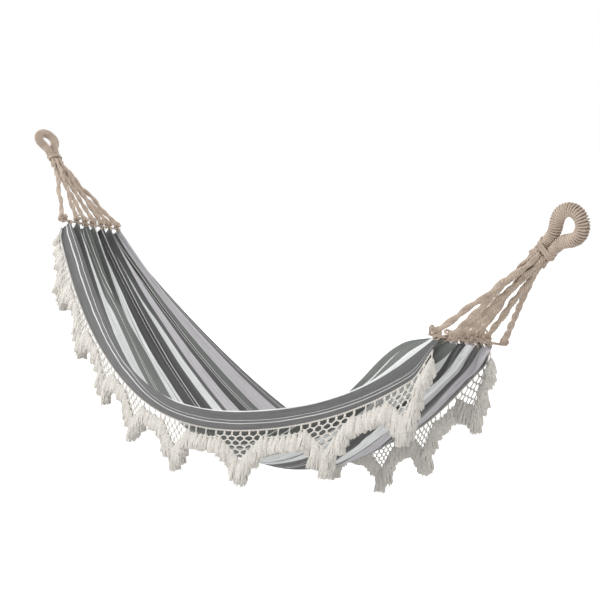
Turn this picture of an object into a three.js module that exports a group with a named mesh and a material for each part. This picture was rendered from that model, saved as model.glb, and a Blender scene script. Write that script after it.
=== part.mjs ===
// A fringed cloth hammock, hung from a whipped rope eye at each end.
// Millimetres, +Z up. +X runs from the head eye to the foot eye, and the origin is the
// point of the head eye that sits on its hook. Near means the -Y side.
import * as THREE from 'three';
import { mergeVertices } from 'three/addons/utils/BufferGeometryUtils.js';

// How far apart the two hooks are, and the gap that pieces which touch keep
const span = 2640;
const seatGap = 0.3;

// Rope eyes: an egg-shaped ring of core rope, wound with one long whipping cord
const eyeTiltDegrees = 48;
const headEyeTurnDegrees = 80;
const footEyeTurnDegrees = 0;
const seatToNeck = 122;
const eyeHoleRadius = 18.5;
const eyeLowerRadius = 19.5;
const eyeCoreRadius = 12;
const eyeSteps = 26;
const eyeSides = 8;
const whippingDiameter = 5;
const whippingTurns = 18;
const whippingStepsPerTurn = 10;
const whippingSides = 4;
const neckRadius = 24;
const neckSteps = 12;
const neckRings = 8;

// Clew cords: each runs from the neck to a knot at one crest of the gathered cloth
const cordSides = 8;
const cordSteps = 8;
const cordNeckRadius = 7.6;
const cordRadius = 9;
const cordNeckGap = 0.6;
const cordRunOut = 20;
const cordRunIn = 120;
const cordSwellShares = [0, 0, 0.1, 0.3, 0.6, 0.9, 1, 1, 1];
const bundleAcrossShares = [-1, -0.5, -0.5, 0, 0.5, 0.5, 1];
const bundleLiftShares = [0, 0.866, -0.866, 0, 0.866, -0.866, 0];
const knotRadius = 14;
const headKnotReaches = [26, 0];
const footKnotReaches = [24, 42];
const knotSeatGap = 0.55;
const knotSteps = 8;
const knotRings = 6;

// Cloth: the lines that its two ends are drawn into, from the near crest to the far edge
const clothThickness = 3;
const headEndInset = 336;
const headNearY = -97;
const headNearDrop = 323;
const headFarY = 136;
const headFarDrop = 386;
const footEndInset = 302;
const footNearY = -110;
const footNearDrop = 352;
const footFarY = 118;
const footFarDrop = 416;
const pleatCount = 7;
const headPleatDepth = 30;
const footPleatDepth = 24;
const stepsPerPleat = 4;
const pleatReachPower = 2.2;

// Cloth: the section half way along, a shallow trough under a turned-over near border
const crestY = -307;
const crestDrop = 716;
const farEdgeY = 412;
const farEdgeDrop = 1038;
const troughDepth = 145;
const troughEvenShare = 0.1;
const clothRows = 18;

// How much faster than a parabola the width and the sag run out towards each end
const nearWidthShares = [0.51, 0.68];
const farWidthShares = [0.13, -0.08];
const nearSagShares = [0.31, -0.3];
const farSagShares = [0.03, 0.41];

// The near border: it lies out flat at the head end and hangs straight down elsewhere
const headBorderWidth = 96;
const footBorderWidth = 45;
const borderSteps = 2;
const borderHangDegrees = 96;
const borderHeadDegrees = 15;
const borderEndShares = [0.4, 0.8];
const borderTurnPower = 1.8;

// One pleat beside the near crest stands higher than the rest just before the foot end
const footFoldRise = 76;
const footFoldColumn = 6;
const footFoldColumns = 4;
const footFoldStartShare = 0.64;

// Draw cords, fringe headings and the fringe
const drawCordRadius = 4;
const drawCordSeatGap = 0.95;
const drawCordOverhang = 12;
const headingRadius = 3.2;
const headingSeatGap = 0.8;
const tubeSides = 6;
const fringeEndInset = 30;
const fringeOutset = 2;
const netValleyDrop = 22;
const netTipDrop = 98;
const netRoundPower = 1.2;
const netRowPower = 1.06;
const netHeaderDrop = 8;
const netCordWidth = 7;
const netThickness = 4;
const netRows = 5;
const netReachShare = 0.82;
const tasselsPerScallop = 7;
const tasselLength = 98;
const tasselThickness = 14;
const tasselValleyShare = 0.6;
const tasselSlotShare = 0.3;
const tasselTieLength = 12;

// Where each scallop of the fringe ends along its edge, and how far it leans outwards
const nearScallopShares = [0, 0.141, 0.242, 0.351, 0.452, 0.567, 0.722, 0.869, 1];
const farScallopShares = [0, 0.112, 0.224, 0.336, 0.448, 0.56, 0.682, 0.8, 1];
const nearLeanShares = [0.3, 0];
const farLeanShares = [0.2, 0.2];
const middleLeanShare = 0.05;

const wovenCotton = new THREE.MeshStandardMaterial({ color: 0x8f9391, roughness: 0.95, metalness: 0 });
const ropeFibre = new THREE.MeshStandardMaterial({ color: 0xc4b4a4, roughness: 0.95, metalness: 0 });
const fringeCotton = new THREE.MeshStandardMaterial({ color: 0xe0dad0, roughness: 0.95, metalness: 0 });

const { lerp, degToRad } = THREE.MathUtils;
const across = new THREE.Vector3(0, 1, 0);
const up = new THREE.Vector3(0, 0, 1);
const hammock = new THREE.Group();

// Adds one piece, with shared vertices merged so that it is one closed body
function addPiece(name, geometry, material, place = new THREE.Vector3()) {
  geometry.deleteAttribute('normal');
  geometry.deleteAttribute('uv');
  const merged = mergeVertices(geometry);
  merged.computeVertexNormals();
  const mesh = new THREE.Mesh(merged, material);
  mesh.name = name;
  mesh.position.copy(place);
  hammock.add(mesh);
  return mesh;
}

// Turns a closed surface the right way out, from the sign of its volume
function bodyFrom(points, faces) {
  let volume = 0;
  for (const [a, b, c] of faces) {
    volume += points[a].dot(points[b].clone().cross(points[c]));
  }
  const index = faces.flatMap(([a, b, c]) => (volume < 0 ? [a, c, b] : [a, b, c]));
  return new THREE.BufferGeometry().setFromPoints(points).setIndex(index);
}

// A tube through rings of points, closed on itself or with a flat face at each end
function tubeThrough(rings, closed = false) {
  const sides = rings[0].length;
  const faces = [];
  const spans = closed ? rings.length : rings.length - 1;
  for (let i = 0; i < spans; i += 1) {
    const here = i * sides;
    const next = ((i + 1) % rings.length) * sides;
    for (let j = 0; j < sides; j += 1) {
      const k = (j + 1) % sides;
      faces.push([here + j, here + k, next + k], [here + j, next + k, next + j]);
    }
  }
  if (!closed) {
    const last = (rings.length - 1) * sides;
    for (let j = 1; j < sides - 1; j += 1) {
      faces.push([0, j + 1, j], [last, last + j, last + j + 1]);
    }
  }
  return bodyFrom(rings.flat(), faces);
}

function ringOf(centre, radius, sides, first, second) {
  return Array.from({ length: sides }, (_, j) => {
    const angle = (2 * Math.PI * j) / sides;
    return centre.clone()
      .addScaledVector(first, radius * Math.cos(angle))
      .addScaledVector(second, radius * Math.sin(angle));
  });
}

// A round section carried along a line of points without twisting
function sweep(points, radii, sides, firstNormal) {
  const normal = firstNormal.clone();
  const rings = points.map((point, i) => {
    const before = points[Math.max(i - 1, 0)];
    const after = points[Math.min(i + 1, points.length - 1)];
    const along = after.clone().sub(before).normalize();
    normal.addScaledVector(along, -normal.dot(along)).normalize();
    return ringOf(point, radii[i], sides, normal, along.clone().cross(normal));
  });
  return tubeThrough(rings);
}

// The cloth as warp lines. t runs from the near crest to the far edge, s from head to foot
const headEndX = headEndInset;
const footEndX = span - footEndInset;
const columns = pleatCount * stepsPerPleat;

function troughMiddle(t) {
  const even = t - (troughEvenShare * Math.sin(2 * Math.PI * t)) / (2 * Math.PI);
  const chord = new THREE.Vector2(farEdgeY - crestY, crestDrop - farEdgeDrop);
  const below = new THREE.Vector2(chord.y, -chord.x).normalize();
  const depth = troughDepth * (1 - (2 * even - 1) ** 2);
  return new THREE.Vector2(crestY, -crestDrop).addScaledVector(chord, even).addScaledVector(below, depth);
}

function gatheredLine(t, s) {
  const y = lerp(lerp(headNearY, headFarY, t), lerp(footNearY, footFarY, t), s);
  const drop = lerp(lerp(headNearDrop, headFarDrop, t), lerp(footNearDrop, footFarDrop, t), s);
  return new THREE.Vector2(y, -drop);
}

// 1 half way along and 0 at the ends, like a parabola that runs out faster by a share
function runOut(s, shares) {
  const fromMiddle = 2 * s - 1;
  const share = lerp(shares[0], shares[1], s);
  return 1 - (1 + share) * fromMiddle ** 2 + share * fromMiddle ** 4;
}

function warpPoint(t, s) {
  const hang = troughMiddle(t).sub(gatheredLine(t, 1 / 2));
  const line = gatheredLine(t, s);
  const y = line.x + hang.x * lerp(runOut(s, nearWidthShares), runOut(s, farWidthShares), t);
  const z = line.y + hang.y * lerp(runOut(s, nearSagShares), runOut(s, farSagShares), t);
  return new THREE.Vector3(lerp(headEndX, footEndX, s), y, z);
}

// The direction square to the cloth's hanging line, in which pleats stand up
function pleatDirection(s) {
  const step = 1 / clothRows ** 2;
  const slope = warpPoint(1 / 2, s + step).sub(warpPoint(1 / 2, s - step));
  return new THREE.Vector3(-slope.z, 0, slope.x).normalize();
}

function clothPoint(column, s) {
  const fromMiddle = Math.abs(2 * s - 1);
  const t = Math.max(column - borderSteps, 0) / (columns - borderSteps);
  const point = warpPoint(t, s);
  if (column < borderSteps) {
    const turned = (1 - fromMiddle ** 2) ** borderTurnPower;
    const endDegrees = lerp(borderHeadDegrees, borderHangDegrees, s);
    const hang = degToRad(lerp(endDegrees, borderHangDegrees, turned));
    const endShare = lerp(borderEndShares[0], borderEndShares[1], s);
    const wholeWidth = lerp(headBorderWidth, footBorderWidth, s) * lerp(1, endShare, fromMiddle ** 3);
    const width = wholeWidth * (1 - column / borderSteps);
    point.add(new THREE.Vector3(0, -Math.cos(hang), -Math.sin(hang)).multiplyScalar(width));
  }
  const fold = (1 - Math.cos((2 * Math.PI * column) / stepsPerPleat)) / 2;
  const pleatDepth = lerp(headPleatDepth, footPleatDepth, s);
  const rise = pleatDepth * fold * fromMiddle ** pleatReachPower + footFold(column, s);
  return point.addScaledVector(pleatDirection(s), rise);
}

function footFold(column, s) {
  const acrossFold = Math.min(Math.abs(column - footFoldColumn) / footFoldColumns, 1);
  const alongFold = Math.max(s - footFoldStartShare, 0) / (1 - footFoldStartShare);
  return footFoldRise * Math.cos((Math.PI / 2) * acrossFold) ** 2 * Math.sin(Math.PI * alongFold ** 2);
}

// Rows are spaced evenly along the cloth
const hangingLine = new THREE.Curve();
hangingLine.getPoint = (s) => warpPoint(1 / 2, s);
const clothGrid = [];
for (let row = 0; row <= clothRows; row += 1) {
  const s = hangingLine.getUtoTmapping(row / clothRows);
  clothGrid.push(Array.from({ length: columns + 1 }, (_, column) => clothPoint(column, s)));
}

function clothNormal(row, column) {
  const beforeRow = clothGrid[Math.max(row - 1, 0)][column];
  const afterRow = clothGrid[Math.min(row + 1, clothRows)][column];
  const beforeColumn = clothGrid[row][Math.max(column - 1, 0)];
  const afterColumn = clothGrid[row][Math.min(column + 1, columns)];
  const along = afterRow.clone().sub(beforeRow);
  return along.cross(afterColumn.clone().sub(beforeColumn)).normalize();
}

function makeCloth() {
  const points = [];
  for (const side of [1, -1]) {
    clothGrid.forEach((line, row) => line.forEach((point, column) => {
      points.push(point.clone().addScaledVector(clothNormal(row, column), (side * clothThickness) / 2));
    }));
  }
  const width = columns + 1;
  const layer = width * (clothRows + 1);
  const faces = [];
  const quad = (a, b, c, d) => faces.push([a, b, c], [a, c, d]);
  for (let row = 0; row < clothRows; row += 1) {
    for (let column = 0; column < columns; column += 1) {
      const corner = row * width + column;
      quad(corner, corner + 1, corner + width + 1, corner + width);
      quad(layer + corner, layer + corner + width, layer + corner + width + 1, layer + corner + 1);
    }
  }
  for (let row = 0; row < clothRows; row += 1) {
    const near = row * width;
    const far = near + columns;
    quad(near, near + width, layer + near + width, layer + near);
    quad(far + width, far, layer + far, layer + far + width);
  }
  for (let column = 0; column < columns; column += 1) {
    const head = column;
    const foot = clothRows * width + column;
    quad(head + 1, head, layer + head, layer + head + 1);
    quad(foot, foot + 1, layer + foot + 1, layer + foot);
  }
  addPiece('bed_cloth', bodyFrom(points, faces), wovenCotton);
}

// The two ends, alike but for their sides: where the eye hangs and which row it draws in
const tilt = degToRad(eyeTiltDegrees);
const ends = [
  {
    name: 'head',
    seat: new THREE.Vector3(),
    inward: 1,
    turnDegrees: headEyeTurnDegrees,
    knotReaches: headKnotReaches,
    row: 0,
    nextRow: 1,
  },
  {
    name: 'foot',
    seat: new THREE.Vector3(span, 0, 0),
    inward: -1,
    turnDegrees: footEyeTurnDegrees,
    knotReaches: footKnotReaches,
    row: clothRows,
    nextRow: clothRows - 1,
  },
];
for (const end of ends) {
  end.pull = new THREE.Vector3(end.inward * Math.cos(tilt), 0, -Math.sin(tilt));
  end.lift = new THREE.Vector3(end.inward * Math.sin(tilt), 0, Math.cos(tilt))
    .applyAxisAngle(end.pull, degToRad(end.turnDegrees));
  end.faceWay = end.pull.clone().cross(end.lift);
  end.neck = end.seat.clone().addScaledVector(end.pull, seatToNeck);
  end.outward = clothGrid[end.row].map((point, column) => {
    return point.clone().sub(clothGrid[end.nextRow][column]).normalize();
  });
  end.crests = Array.from({ length: pleatCount }, (_, i) => {
    const column = stepsPerPleat * (i + 1 / 2);
    return { point: clothGrid[end.row][column], outward: end.outward[column] };
  });
  const firstCrest = end.crests[0].point;
  const alongCrests = end.crests[pleatCount - 1].point.clone().sub(firstCrest).normalize();
  end.crests.forEach(({ outward }) => {
    outward.addScaledVector(alongCrests, -outward.dot(alongCrests)).normalize();
  });
}

// The eye ring's centre line in its own plane: x up from the neck, y to the side
const whippingRadius = whippingDiameter / 2;
const whippingRunRadius = (eyeCoreRadius + seatGap + whippingRadius) / Math.cos(Math.PI / whippingStepsPerTurn);
const eyeUpperRadius = eyeHoleRadius + whippingRunRadius + whippingRadius;
const eyeUpperCentre = seatToNeck - eyeHoleRadius;
const neckFlatRadius = neckRadius * Math.cos(Math.PI / neckSteps);
const eyeLowerCentre = neckFlatRadius + seatGap + eyeCoreRadius + eyeLowerRadius;
const eyeLean = Math.asin((eyeUpperRadius - eyeLowerRadius) / (eyeUpperCentre - eyeLowerCentre));
const legAngle = Math.PI / 2 + eyeLean;
const eyeLine = new THREE.Path();
eyeLine.absarc(eyeLowerCentre, 0, eyeLowerRadius, Math.PI, legAngle, true);
eyeLine.absarc(eyeUpperCentre, 0, eyeUpperRadius, legAngle, -legAngle, true);
eyeLine.absarc(eyeLowerCentre, 0, eyeLowerRadius, -legAngle, -Math.PI, true);

function eyeFrame(end, share) {
  const spot = eyeLine.getPointAt(share);
  const run = eyeLine.getTangentAt(share);
  const toWorld = (x, y) => end.pull.clone().multiplyScalar(-x).addScaledVector(end.lift, y);
  return {
    centre: end.neck.clone().add(toWorld(spot.x, spot.y)),
    along: toWorld(run.x, run.y),
    out: toWorld(-run.y, run.x),
  };
}

function makeEyeCore(end) {
  const rings = Array.from({ length: eyeSteps }, (_, i) => {
    const frame = eyeFrame(end, i / eyeSteps);
    return ringOf(frame.centre, eyeCoreRadius, eyeSides, frame.out, end.faceWay);
  });
  addPiece(`${end.name}_eye_core`, tubeThrough(rings, true), ropeFibre);
}

// The point that lies past the end of a line, which comes to it from another point
function pastEnd(end, before, reach) {
  return end.clone().addScaledVector(end.clone().sub(before).normalize(), reach);
}

// One unbroken cord wound round both legs and over the top of the ring
function makeWhipping(end) {
  const lowerArc = eyeLowerRadius * (Math.PI - legAngle);
  const wholeLine = eyeLine.getLength();
  const bareShare = lowerArc / wholeLine;
  const count = whippingTurns * whippingStepsPerTurn;
  const line = [];
  const outs = [];
  for (let i = 0; i <= count; i += 1) {
    const frame = eyeFrame(end, lerp(bareShare, 1 - bareShare, i / count));
    const angle = (2 * Math.PI * i) / whippingStepsPerTurn;
    const out = frame.out.clone().multiplyScalar(Math.cos(angle))
      .addScaledVector(end.faceWay, Math.sin(angle));
    line.push(frame.centre.clone().addScaledVector(out, whippingRunRadius));
    outs.push(out);
  }
  line.unshift(pastEnd(line[0], line[1], whippingDiameter));
  outs.unshift(outs[0]);
  line.push(pastEnd(line[line.length - 1], line[line.length - 2], whippingDiameter));
  outs.push(outs[outs.length - 1]);
  const rings = line.map((point, i) => {
    const along = line[Math.min(i + 1, line.length - 1)].clone().sub(line[Math.max(i - 1, 0)]).normalize();
    const out = outs[i].clone().addScaledVector(along, -outs[i].dot(along)).normalize();
    return ringOf(point, whippingRadius, whippingSides, out, along.clone().cross(out));
  });
  addPiece(`${end.name}_eye_whipping`, tubeThrough(rings), ropeFibre);
  return leastGap(line, Math.floor(whippingStepsPerTurn / 2), whippingDiameter);
}

// The least clear distance between points of one line that are at least `apart` steps apart
function leastGap(line, apart, diameter) {
  let least = Infinity;
  for (let i = 0; i < line.length; i += 1) {
    for (let j = i + apart; j < line.length; j += 1) {
      least = Math.min(least, line[i].distanceTo(line[j]) - diameter);
    }
  }
  return least;
}

function makeNeck(end) {
  addPiece(`${end.name}_neck_binding`, new THREE.SphereGeometry(neckRadius, neckSteps, neckRings),
    ropeFibre, end.neck);
}

// The draw cord lies across the crests at the cloth's end, and carries the knots. Where the
// first and last knots sit past the outer crests, the draw cord runs on to them
function drawCordPoint({ point, outward }) {
  return point.clone().addScaledVector(outward, drawCordRadius + drawCordSeatGap);
}

function makeDrawCord(end) {
  const line = end.crests.map(drawCordPoint);
  const [firstReach, lastReach] = end.knotReaches;
  const first = pastEnd(line[0], line[1], firstReach + drawCordOverhang);
  const last = pastEnd(line[pleatCount - 1], line[pleatCount - 2], lastReach + drawCordOverhang);
  const wholeLine = [first, ...line, last];
  const radii = wholeLine.map(() => drawCordRadius);
  addPiece(`${end.name}_draw_cord`, sweep(wholeLine, radii, tubeSides, end.outward[0]), ropeFibre);
}

// The cords run from the knots to the neck
function makeCords(end) {
  const middle = end.crests[(pleatCount - 1) / 2].point;
  const run = new THREE.Vector3(middle.x, 0, middle.z).sub(end.neck).normalize();
  const lift = run.clone().cross(across).multiplyScalar(end.inward);
  const pitch = 2 * cordNeckRadius + cordNeckGap;
  const reach = neckRadius + seatGap;
  const seats = end.crests.map(drawCordPoint);
  const [firstReach, lastReach] = end.knotReaches;
  seats[0] = pastEnd(seats[0], seats[1], firstReach);
  seats[pleatCount - 1] = pastEnd(seats[pleatCount - 1], seats[pleatCount - 2], lastReach);
  bundleAcrossShares.forEach((acrossShare, i) => {
    const knotRise = drawCordRadius + knotSeatGap + knotRadius;
    const knot = seats[i].clone().addScaledVector(end.crests[i].outward, knotRise);
    addPiece(`${end.name}_knot_${i + 1}`, new THREE.SphereGeometry(knotRadius, knotSteps, knotRings),
      ropeFibre, knot);
    const side = new THREE.Vector3().addScaledVector(across, acrossShare * pitch)
      .addScaledVector(lift, bundleLiftShares[i] * pitch);
    const inner = Math.max(side.length() - cordNeckRadius, 0);
    const start = end.neck.clone().add(side).addScaledVector(run, Math.sqrt(reach ** 2 - inner ** 2));
    const leave = start.clone().addScaledVector(run, cordRunOut);
    const arrive = knot.clone().addScaledVector(leave.clone().sub(knot).normalize(), cordRunIn);
    const back = arrive.clone().sub(knot).normalize();
    const finish = knot.clone().addScaledVector(back, knotRadius + seatGap);
    const line = new THREE.CubicBezierCurve3(start, leave, arrive, finish);
    const radii = cordSwellShares.map((share) => lerp(cordNeckRadius, cordRadius, share));
    addPiece(`${end.name}_cord_${i + 1}`, sweep(line.getSpacedPoints(cordSteps), radii, cordSides, lift),
      ropeFibre);
  });
}

// The headings: a thick crocheted cord along each long edge, which the fringe hangs from
const sides = [
  {
    name: 'near',
    column: 0,
    inner: 1,
    outward: -1,
    scallopShares: nearScallopShares,
    leanShares: nearLeanShares,
  },
  {
    name: 'far',
    column: columns,
    inner: columns - 1,
    outward: 1,
    scallopShares: farScallopShares,
    leanShares: farLeanShares,
  },
];
const rowLength = hangingLine.getLength() / clothRows;
for (const side of sides) {
  const inset = fringeEndInset / rowLength;
  side.points = clothGrid.map((_, row) => {
    const place = Math.min(Math.max(row, inset), clothRows - inset);
    const before = Math.min(Math.floor(place), clothRows - 1);
    const onGrid = (column) => {
      return clothGrid[before][column].clone().lerp(clothGrid[before + 1][column], place - before);
    };
    const edge = onGrid(side.column);
    const out = edge.clone().sub(onGrid(side.inner)).normalize();
    return edge.addScaledVector(out, headingRadius + headingSeatGap);
  });
  side.seats = side.points.map((point, row) => {
    const before = side.points[Math.max(row - 1, 0)];
    const run = side.points[Math.min(row + 1, clothRows)].clone().sub(before).normalize();
    return point.clone().addScaledVector(up, -headingRadius / Math.hypot(run.x, run.y) - seatGap);
  });
}

function makeHeading(side) {
  const radii = side.points.map(() => headingRadius);
  addPiece(`${side.name}_fringe_heading`, sweep(side.points, radii, tubeSides, across), fringeCotton);
}

// How far the net hangs below its heading, at a share of the scallop's length
function netDrop(share) {
  return lerp(netTipDrop, netValleyDrop, Math.abs(2 * share - 1) ** netRoundPower);
}

// One scallop in elevation: a net of diamond gaps in a hanging triangle, with its tassels.
// hang(share, drop) places a point under the heading, which bends at the shares in bends
function scallopShape(hang, length, bends) {
  const edgeShare = seatGap / length;
  const outline = [hang(1 - edgeShare, 0), ...bends.map((share) => hang(share, 0)).reverse(), hang(edgeShare, 0)];
  const half = (1 - tasselSlotShare) / tasselsPerScallop / 2;
  for (let i = 0; i < tasselsPerScallop; i += 1) {
    const share = (i + 1 / 2) / tasselsPerScallop;
    const fromTip = Math.abs(2 * share - 1);
    const low = netDrop(share) + tasselLength * lerp(1, tasselValleyShare, fromTip);
    if (i > 0) {
      const slot = i / tasselsPerScallop;
      outline.push(hang(slot, netDrop(slot) + tasselTieLength));
    }
    outline.push(hang(share - half, low), hang(share + half, low));
  }
  const shape = new THREE.Shape(outline);
  const pitch = netReachShare / netRows;
  const halfGap = (pitch - netCordWidth / length) / 2;
  const netDepth = netTipDrop - netHeaderDrop - netCordWidth;
  const halfDrop = netDepth / (netRows + 1) - netCordWidth / 2;
  for (let row = 0; row < netRows; row += 1) {
    for (let i = 0; i < netRows - row; i += 1) {
      const share = 1 / 2 + (i - (netRows - row - 1) / 2) * pitch;
      const drop = netHeaderDrop + netDepth * ((row + 1) / (netRows + 1)) ** netRowPower;
      shape.holes.push(new THREE.Path([
        hang(share - halfGap, drop),
        hang(share, drop + halfDrop),
        hang(share + halfGap, drop),
        hang(share, drop - halfDrop),
      ]));
    }
  }
  return shape;
}

// Hangs a scallop under its stretch of heading, leaning outwards and thicker below the net
function makeScallop(side, index) {
  const { seats, scallopShares, leanShares } = side;
  const from = scallopShares[index] * clothRows;
  const to = scallopShares[index + 1] * clothRows;
  const seatAt = (place) => {
    const before = Math.min(Math.floor(place), clothRows - 1);
    return seats[before].clone().lerp(seats[before + 1], place - before);
  };
  const bends = seats.map((_, row) => (row - from) / (to - from)).filter((share) => share > 0 && share < 1);
  const corners = [0, ...bends, 1].map((share) => seatAt(lerp(from, to, share)));
  const length = corners.slice(1).reduce((sum, seat, i) => sum + seat.distanceTo(corners[i]), 0);
  const hang = (share, drop) => {
    const seat = seatAt(lerp(from, to, share));
    return new THREE.Vector2(seat.x, seat.z - drop);
  };
  const shape = scallopShape(hang, length, bends);
  const geometry = new THREE.ExtrudeGeometry(shape, { depth: 1, bevelEnabled: false });
  const points = geometry.getAttribute('position');
  for (let i = 0; i < points.count; i += 1) {
    const x = points.getX(i);
    const z = points.getY(i);
    const before = Math.min(Math.max(seats.findLastIndex((seat) => seat.x <= x), 0), clothRows - 1);
    const place = before + (x - seats[before].x) / (seats[before + 1].x - seats[before].x);
    const seat = seatAt(place);
    const drop = seat.z - z;
    const s = place / clothRows;
    const endLeanShare = lerp(leanShares[0], leanShares[1], s);
    const leanShare = lerp(middleLeanShare, endLeanShare, (2 * s - 1) ** 2);
    const isTasselEnd = drop > netDrop((place - from) / (to - from)) + 2 * tasselTieLength;
    const thickness = isTasselEnd ? tasselThickness : netThickness;
    const out = side.outward * (fringeOutset + leanShare * drop) + (1 / 2 - points.getZ(i)) * thickness;
    points.setXYZ(i, x, seat.y + out, z);
  }
  addPiece(`${side.name}_fringe_${index + 1}`, geometry, fringeCotton);
}

makeCloth();
const whippingGaps = [];
for (const end of ends) {
  makeEyeCore(end);
  whippingGaps.push(makeWhipping(end));
  makeNeck(end);
  makeCords(end);
  makeDrawCord(end);
}
for (const side of sides) {
  makeHeading(side);
  for (let index = 0; index < side.scallopShares.length - 1; index += 1) {
    makeScallop(side, index);
  }
}
console.log(`least gap between whipping turns, mm: ${Math.min(...whippingGaps).toFixed(2)}`);

export default hammock;
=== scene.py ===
"""Dresses the fringed hammock: striped cotton, knotted fringe, laid cords and whipped eyes."""

import math

import bpy
import numpy as np
from bpy.props import FloatProperty, FloatVectorProperty, IntProperty, PointerProperty
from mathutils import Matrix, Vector


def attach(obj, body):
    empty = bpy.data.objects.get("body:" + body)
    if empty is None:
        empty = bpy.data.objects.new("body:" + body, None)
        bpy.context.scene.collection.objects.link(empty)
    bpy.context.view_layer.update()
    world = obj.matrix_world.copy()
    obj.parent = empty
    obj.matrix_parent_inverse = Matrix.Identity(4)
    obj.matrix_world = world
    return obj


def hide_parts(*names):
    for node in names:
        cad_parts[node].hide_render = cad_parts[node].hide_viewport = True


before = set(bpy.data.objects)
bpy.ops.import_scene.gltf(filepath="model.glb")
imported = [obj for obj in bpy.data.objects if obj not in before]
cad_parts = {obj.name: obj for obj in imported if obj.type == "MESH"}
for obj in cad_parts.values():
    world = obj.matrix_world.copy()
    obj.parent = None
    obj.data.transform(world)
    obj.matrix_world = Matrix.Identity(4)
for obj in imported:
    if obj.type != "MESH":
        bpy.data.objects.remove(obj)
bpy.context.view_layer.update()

bl_info = {
    "name": "Fringed hammock",
    "version": (1, 0, 0),
    "blender": (4, 5, 0),
    "location": "View3D > Sidebar > Hammock",
    "description": "Builds a striped hammock with a knotted fringe, piece by piece",
    "category": "Object",
}

ENDS = ("head", "foot")
SIDES = ("near", "far")

# The hang of the cloth in metres, the same values as the part's source
SPAN = 2.640
END_INSETS = (0.336, 0.302)
HEAD_LINE = ((-0.097, -0.323), (0.136, -0.386))
FOOT_LINE = ((-0.110, -0.352), (0.118, -0.416))
CREST, FAR_EDGE = (-0.307, -0.716), (0.412, -1.038)
TROUGH_DEPTH, TROUGH_EVEN = 0.145, 0.1
NEAR_WIDTH, FAR_WIDTH = (0.51, 0.68), (0.13, -0.08)
NEAR_SAG, FAR_SAG = (0.31, -0.3), (0.03, 0.41)
PLEATS, STEPS_PER_PLEAT = 7, 4
COLUMNS = PLEATS * STEPS_PER_PLEAT
PLEAT_DEPTHS, PLEAT_POWER = (0.030, 0.024), 2.2
ROWS = 18
BORDER_WIDTHS, BORDER_COLUMNS = (0.096, 0.045), 2
# The border's lean below level in degrees, its narrowing at each end, and how fast it turns over
BORDER_HANG, BORDER_HEAD, BORDER_ENDS, BORDER_POWER = 96, 15, (0.4, 0.8), 1.8
# The foot end's high fold: its height, its column, how many columns it reaches, and its start
FOLD_RISE, FOLD_COLUMN, FOLD_COLUMNS, FOLD_START = 0.076, 6, 4, 0.64
CREST_COLUMNS = [STEPS_PER_PLEAT * (i + 0.5) for i in range(PLEATS)]

# The ends in metres: eye, neck, cords and knots
EYE_TILT = math.radians(48)
EYE_TURNS = (80, 0)
SEAT_TO_NECK, SEAT_GAP = 0.122, 0.0003
EYE_HOLE, EYE_CORE = 0.0185, 0.012
WHIPPING_RADIUS, WHIPPING_STEPS, NECK_RADIUS = 0.0025, 10, 0.024
CORD_NECK_RADIUS, CORD_NECK_GAP = 0.0076, 0.0006
CORD_RUN_OUT, CORD_RUN_IN = 0.020, 0.120
# How near the neck's middle a cord starts, and how deep it goes into its knot, as shares
ROOT_SHARE, KNOT_DEPTH = 0.85, 0.55
# The eye's two legs, which lie side by side at its throat: how far up from the neck and aside
# each starts and meets the curve, which way it leaves, and how far the curve reaches back to it
THROAT, LEG_START, LEG_MEET = 0.014, (0.006, 0.0122), (0.052, 0.0150)
LEG_WAY, ARC_REACH = (0.014, 0.0012), 0.017
EYE_OPEN_DEGREES, THROAT_GIRTH, GIRTH_RUN = 112, 0.66, (-0.01, 0.085)
ACROSS_SHARES = (-1, -0.5, -0.5, 0, 0.5, 0.5, 1)
LIFT_SHARES = (0, 0.866, -0.866, 0, 0.866, -0.866, 0)
KNOT_RADIUS, KNOT_GAP = 0.014, 0.00055
# How far the first and the last knot of an end sit past the cloth
KNOT_REACHES = ((0.026, 0.0), (0.024, 0.042))
DRAW_CORD_RADIUS, DRAW_CORD_GAP, DRAW_CORD_OVERHANG = 0.004, 0.00095, 0.012

# The fringe in metres
HEADING_RADIUS, HEADING_GAP = 0.0032, 0.0008
FRINGE_INSET, FRINGE_OUTSET = 0.030, 0.002
NET_POST, NET_VALLEY, NET_TIP, NET_ROWS = 0.010, 0.024, 0.098, 6
TASSEL_LENGTH, TASSEL_VALLEY_SHARE = 0.098, 0.54
SCALLOPS = {
    "near": (0, 0.141, 0.242, 0.351, 0.452, 0.567, 0.722, 0.869, 1),
    "far": (0, 0.112, 0.224, 0.336, 0.448, 0.56, 0.682, 0.8, 1),
}
LEANS = {"near": (0.3, 0.0), "far": (0.2, 0.2)}
MIDDLE_LEAN = 0.05

# The stripes from the near edge to the far one: a yarn and its width in millimetres
BORDER_BAND = (("grey", 26), ("white", 3), ("grey", 11), ("white", 3), ("grey", 39))
STRIPES = (
    *BORDER_BAND,
    ("pale", 127),
    ("sage", 46), ("white", 3), ("sage", 13), ("white", 3), ("sage", 59),
    ("pale", 36), ("grey", 5), ("pale", 32),
    ("dark", 51), ("white", 3), ("dark", 12), ("white", 3), ("dark", 52),
    ("pale", 46), ("grey", 16), ("lilac", 54),
    ("dark", 42), ("white", 4), ("dark", 10), ("white", 4), ("sage", 41),
    ("lilac", 104),
    *BORDER_BAND[::-1],
)
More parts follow.
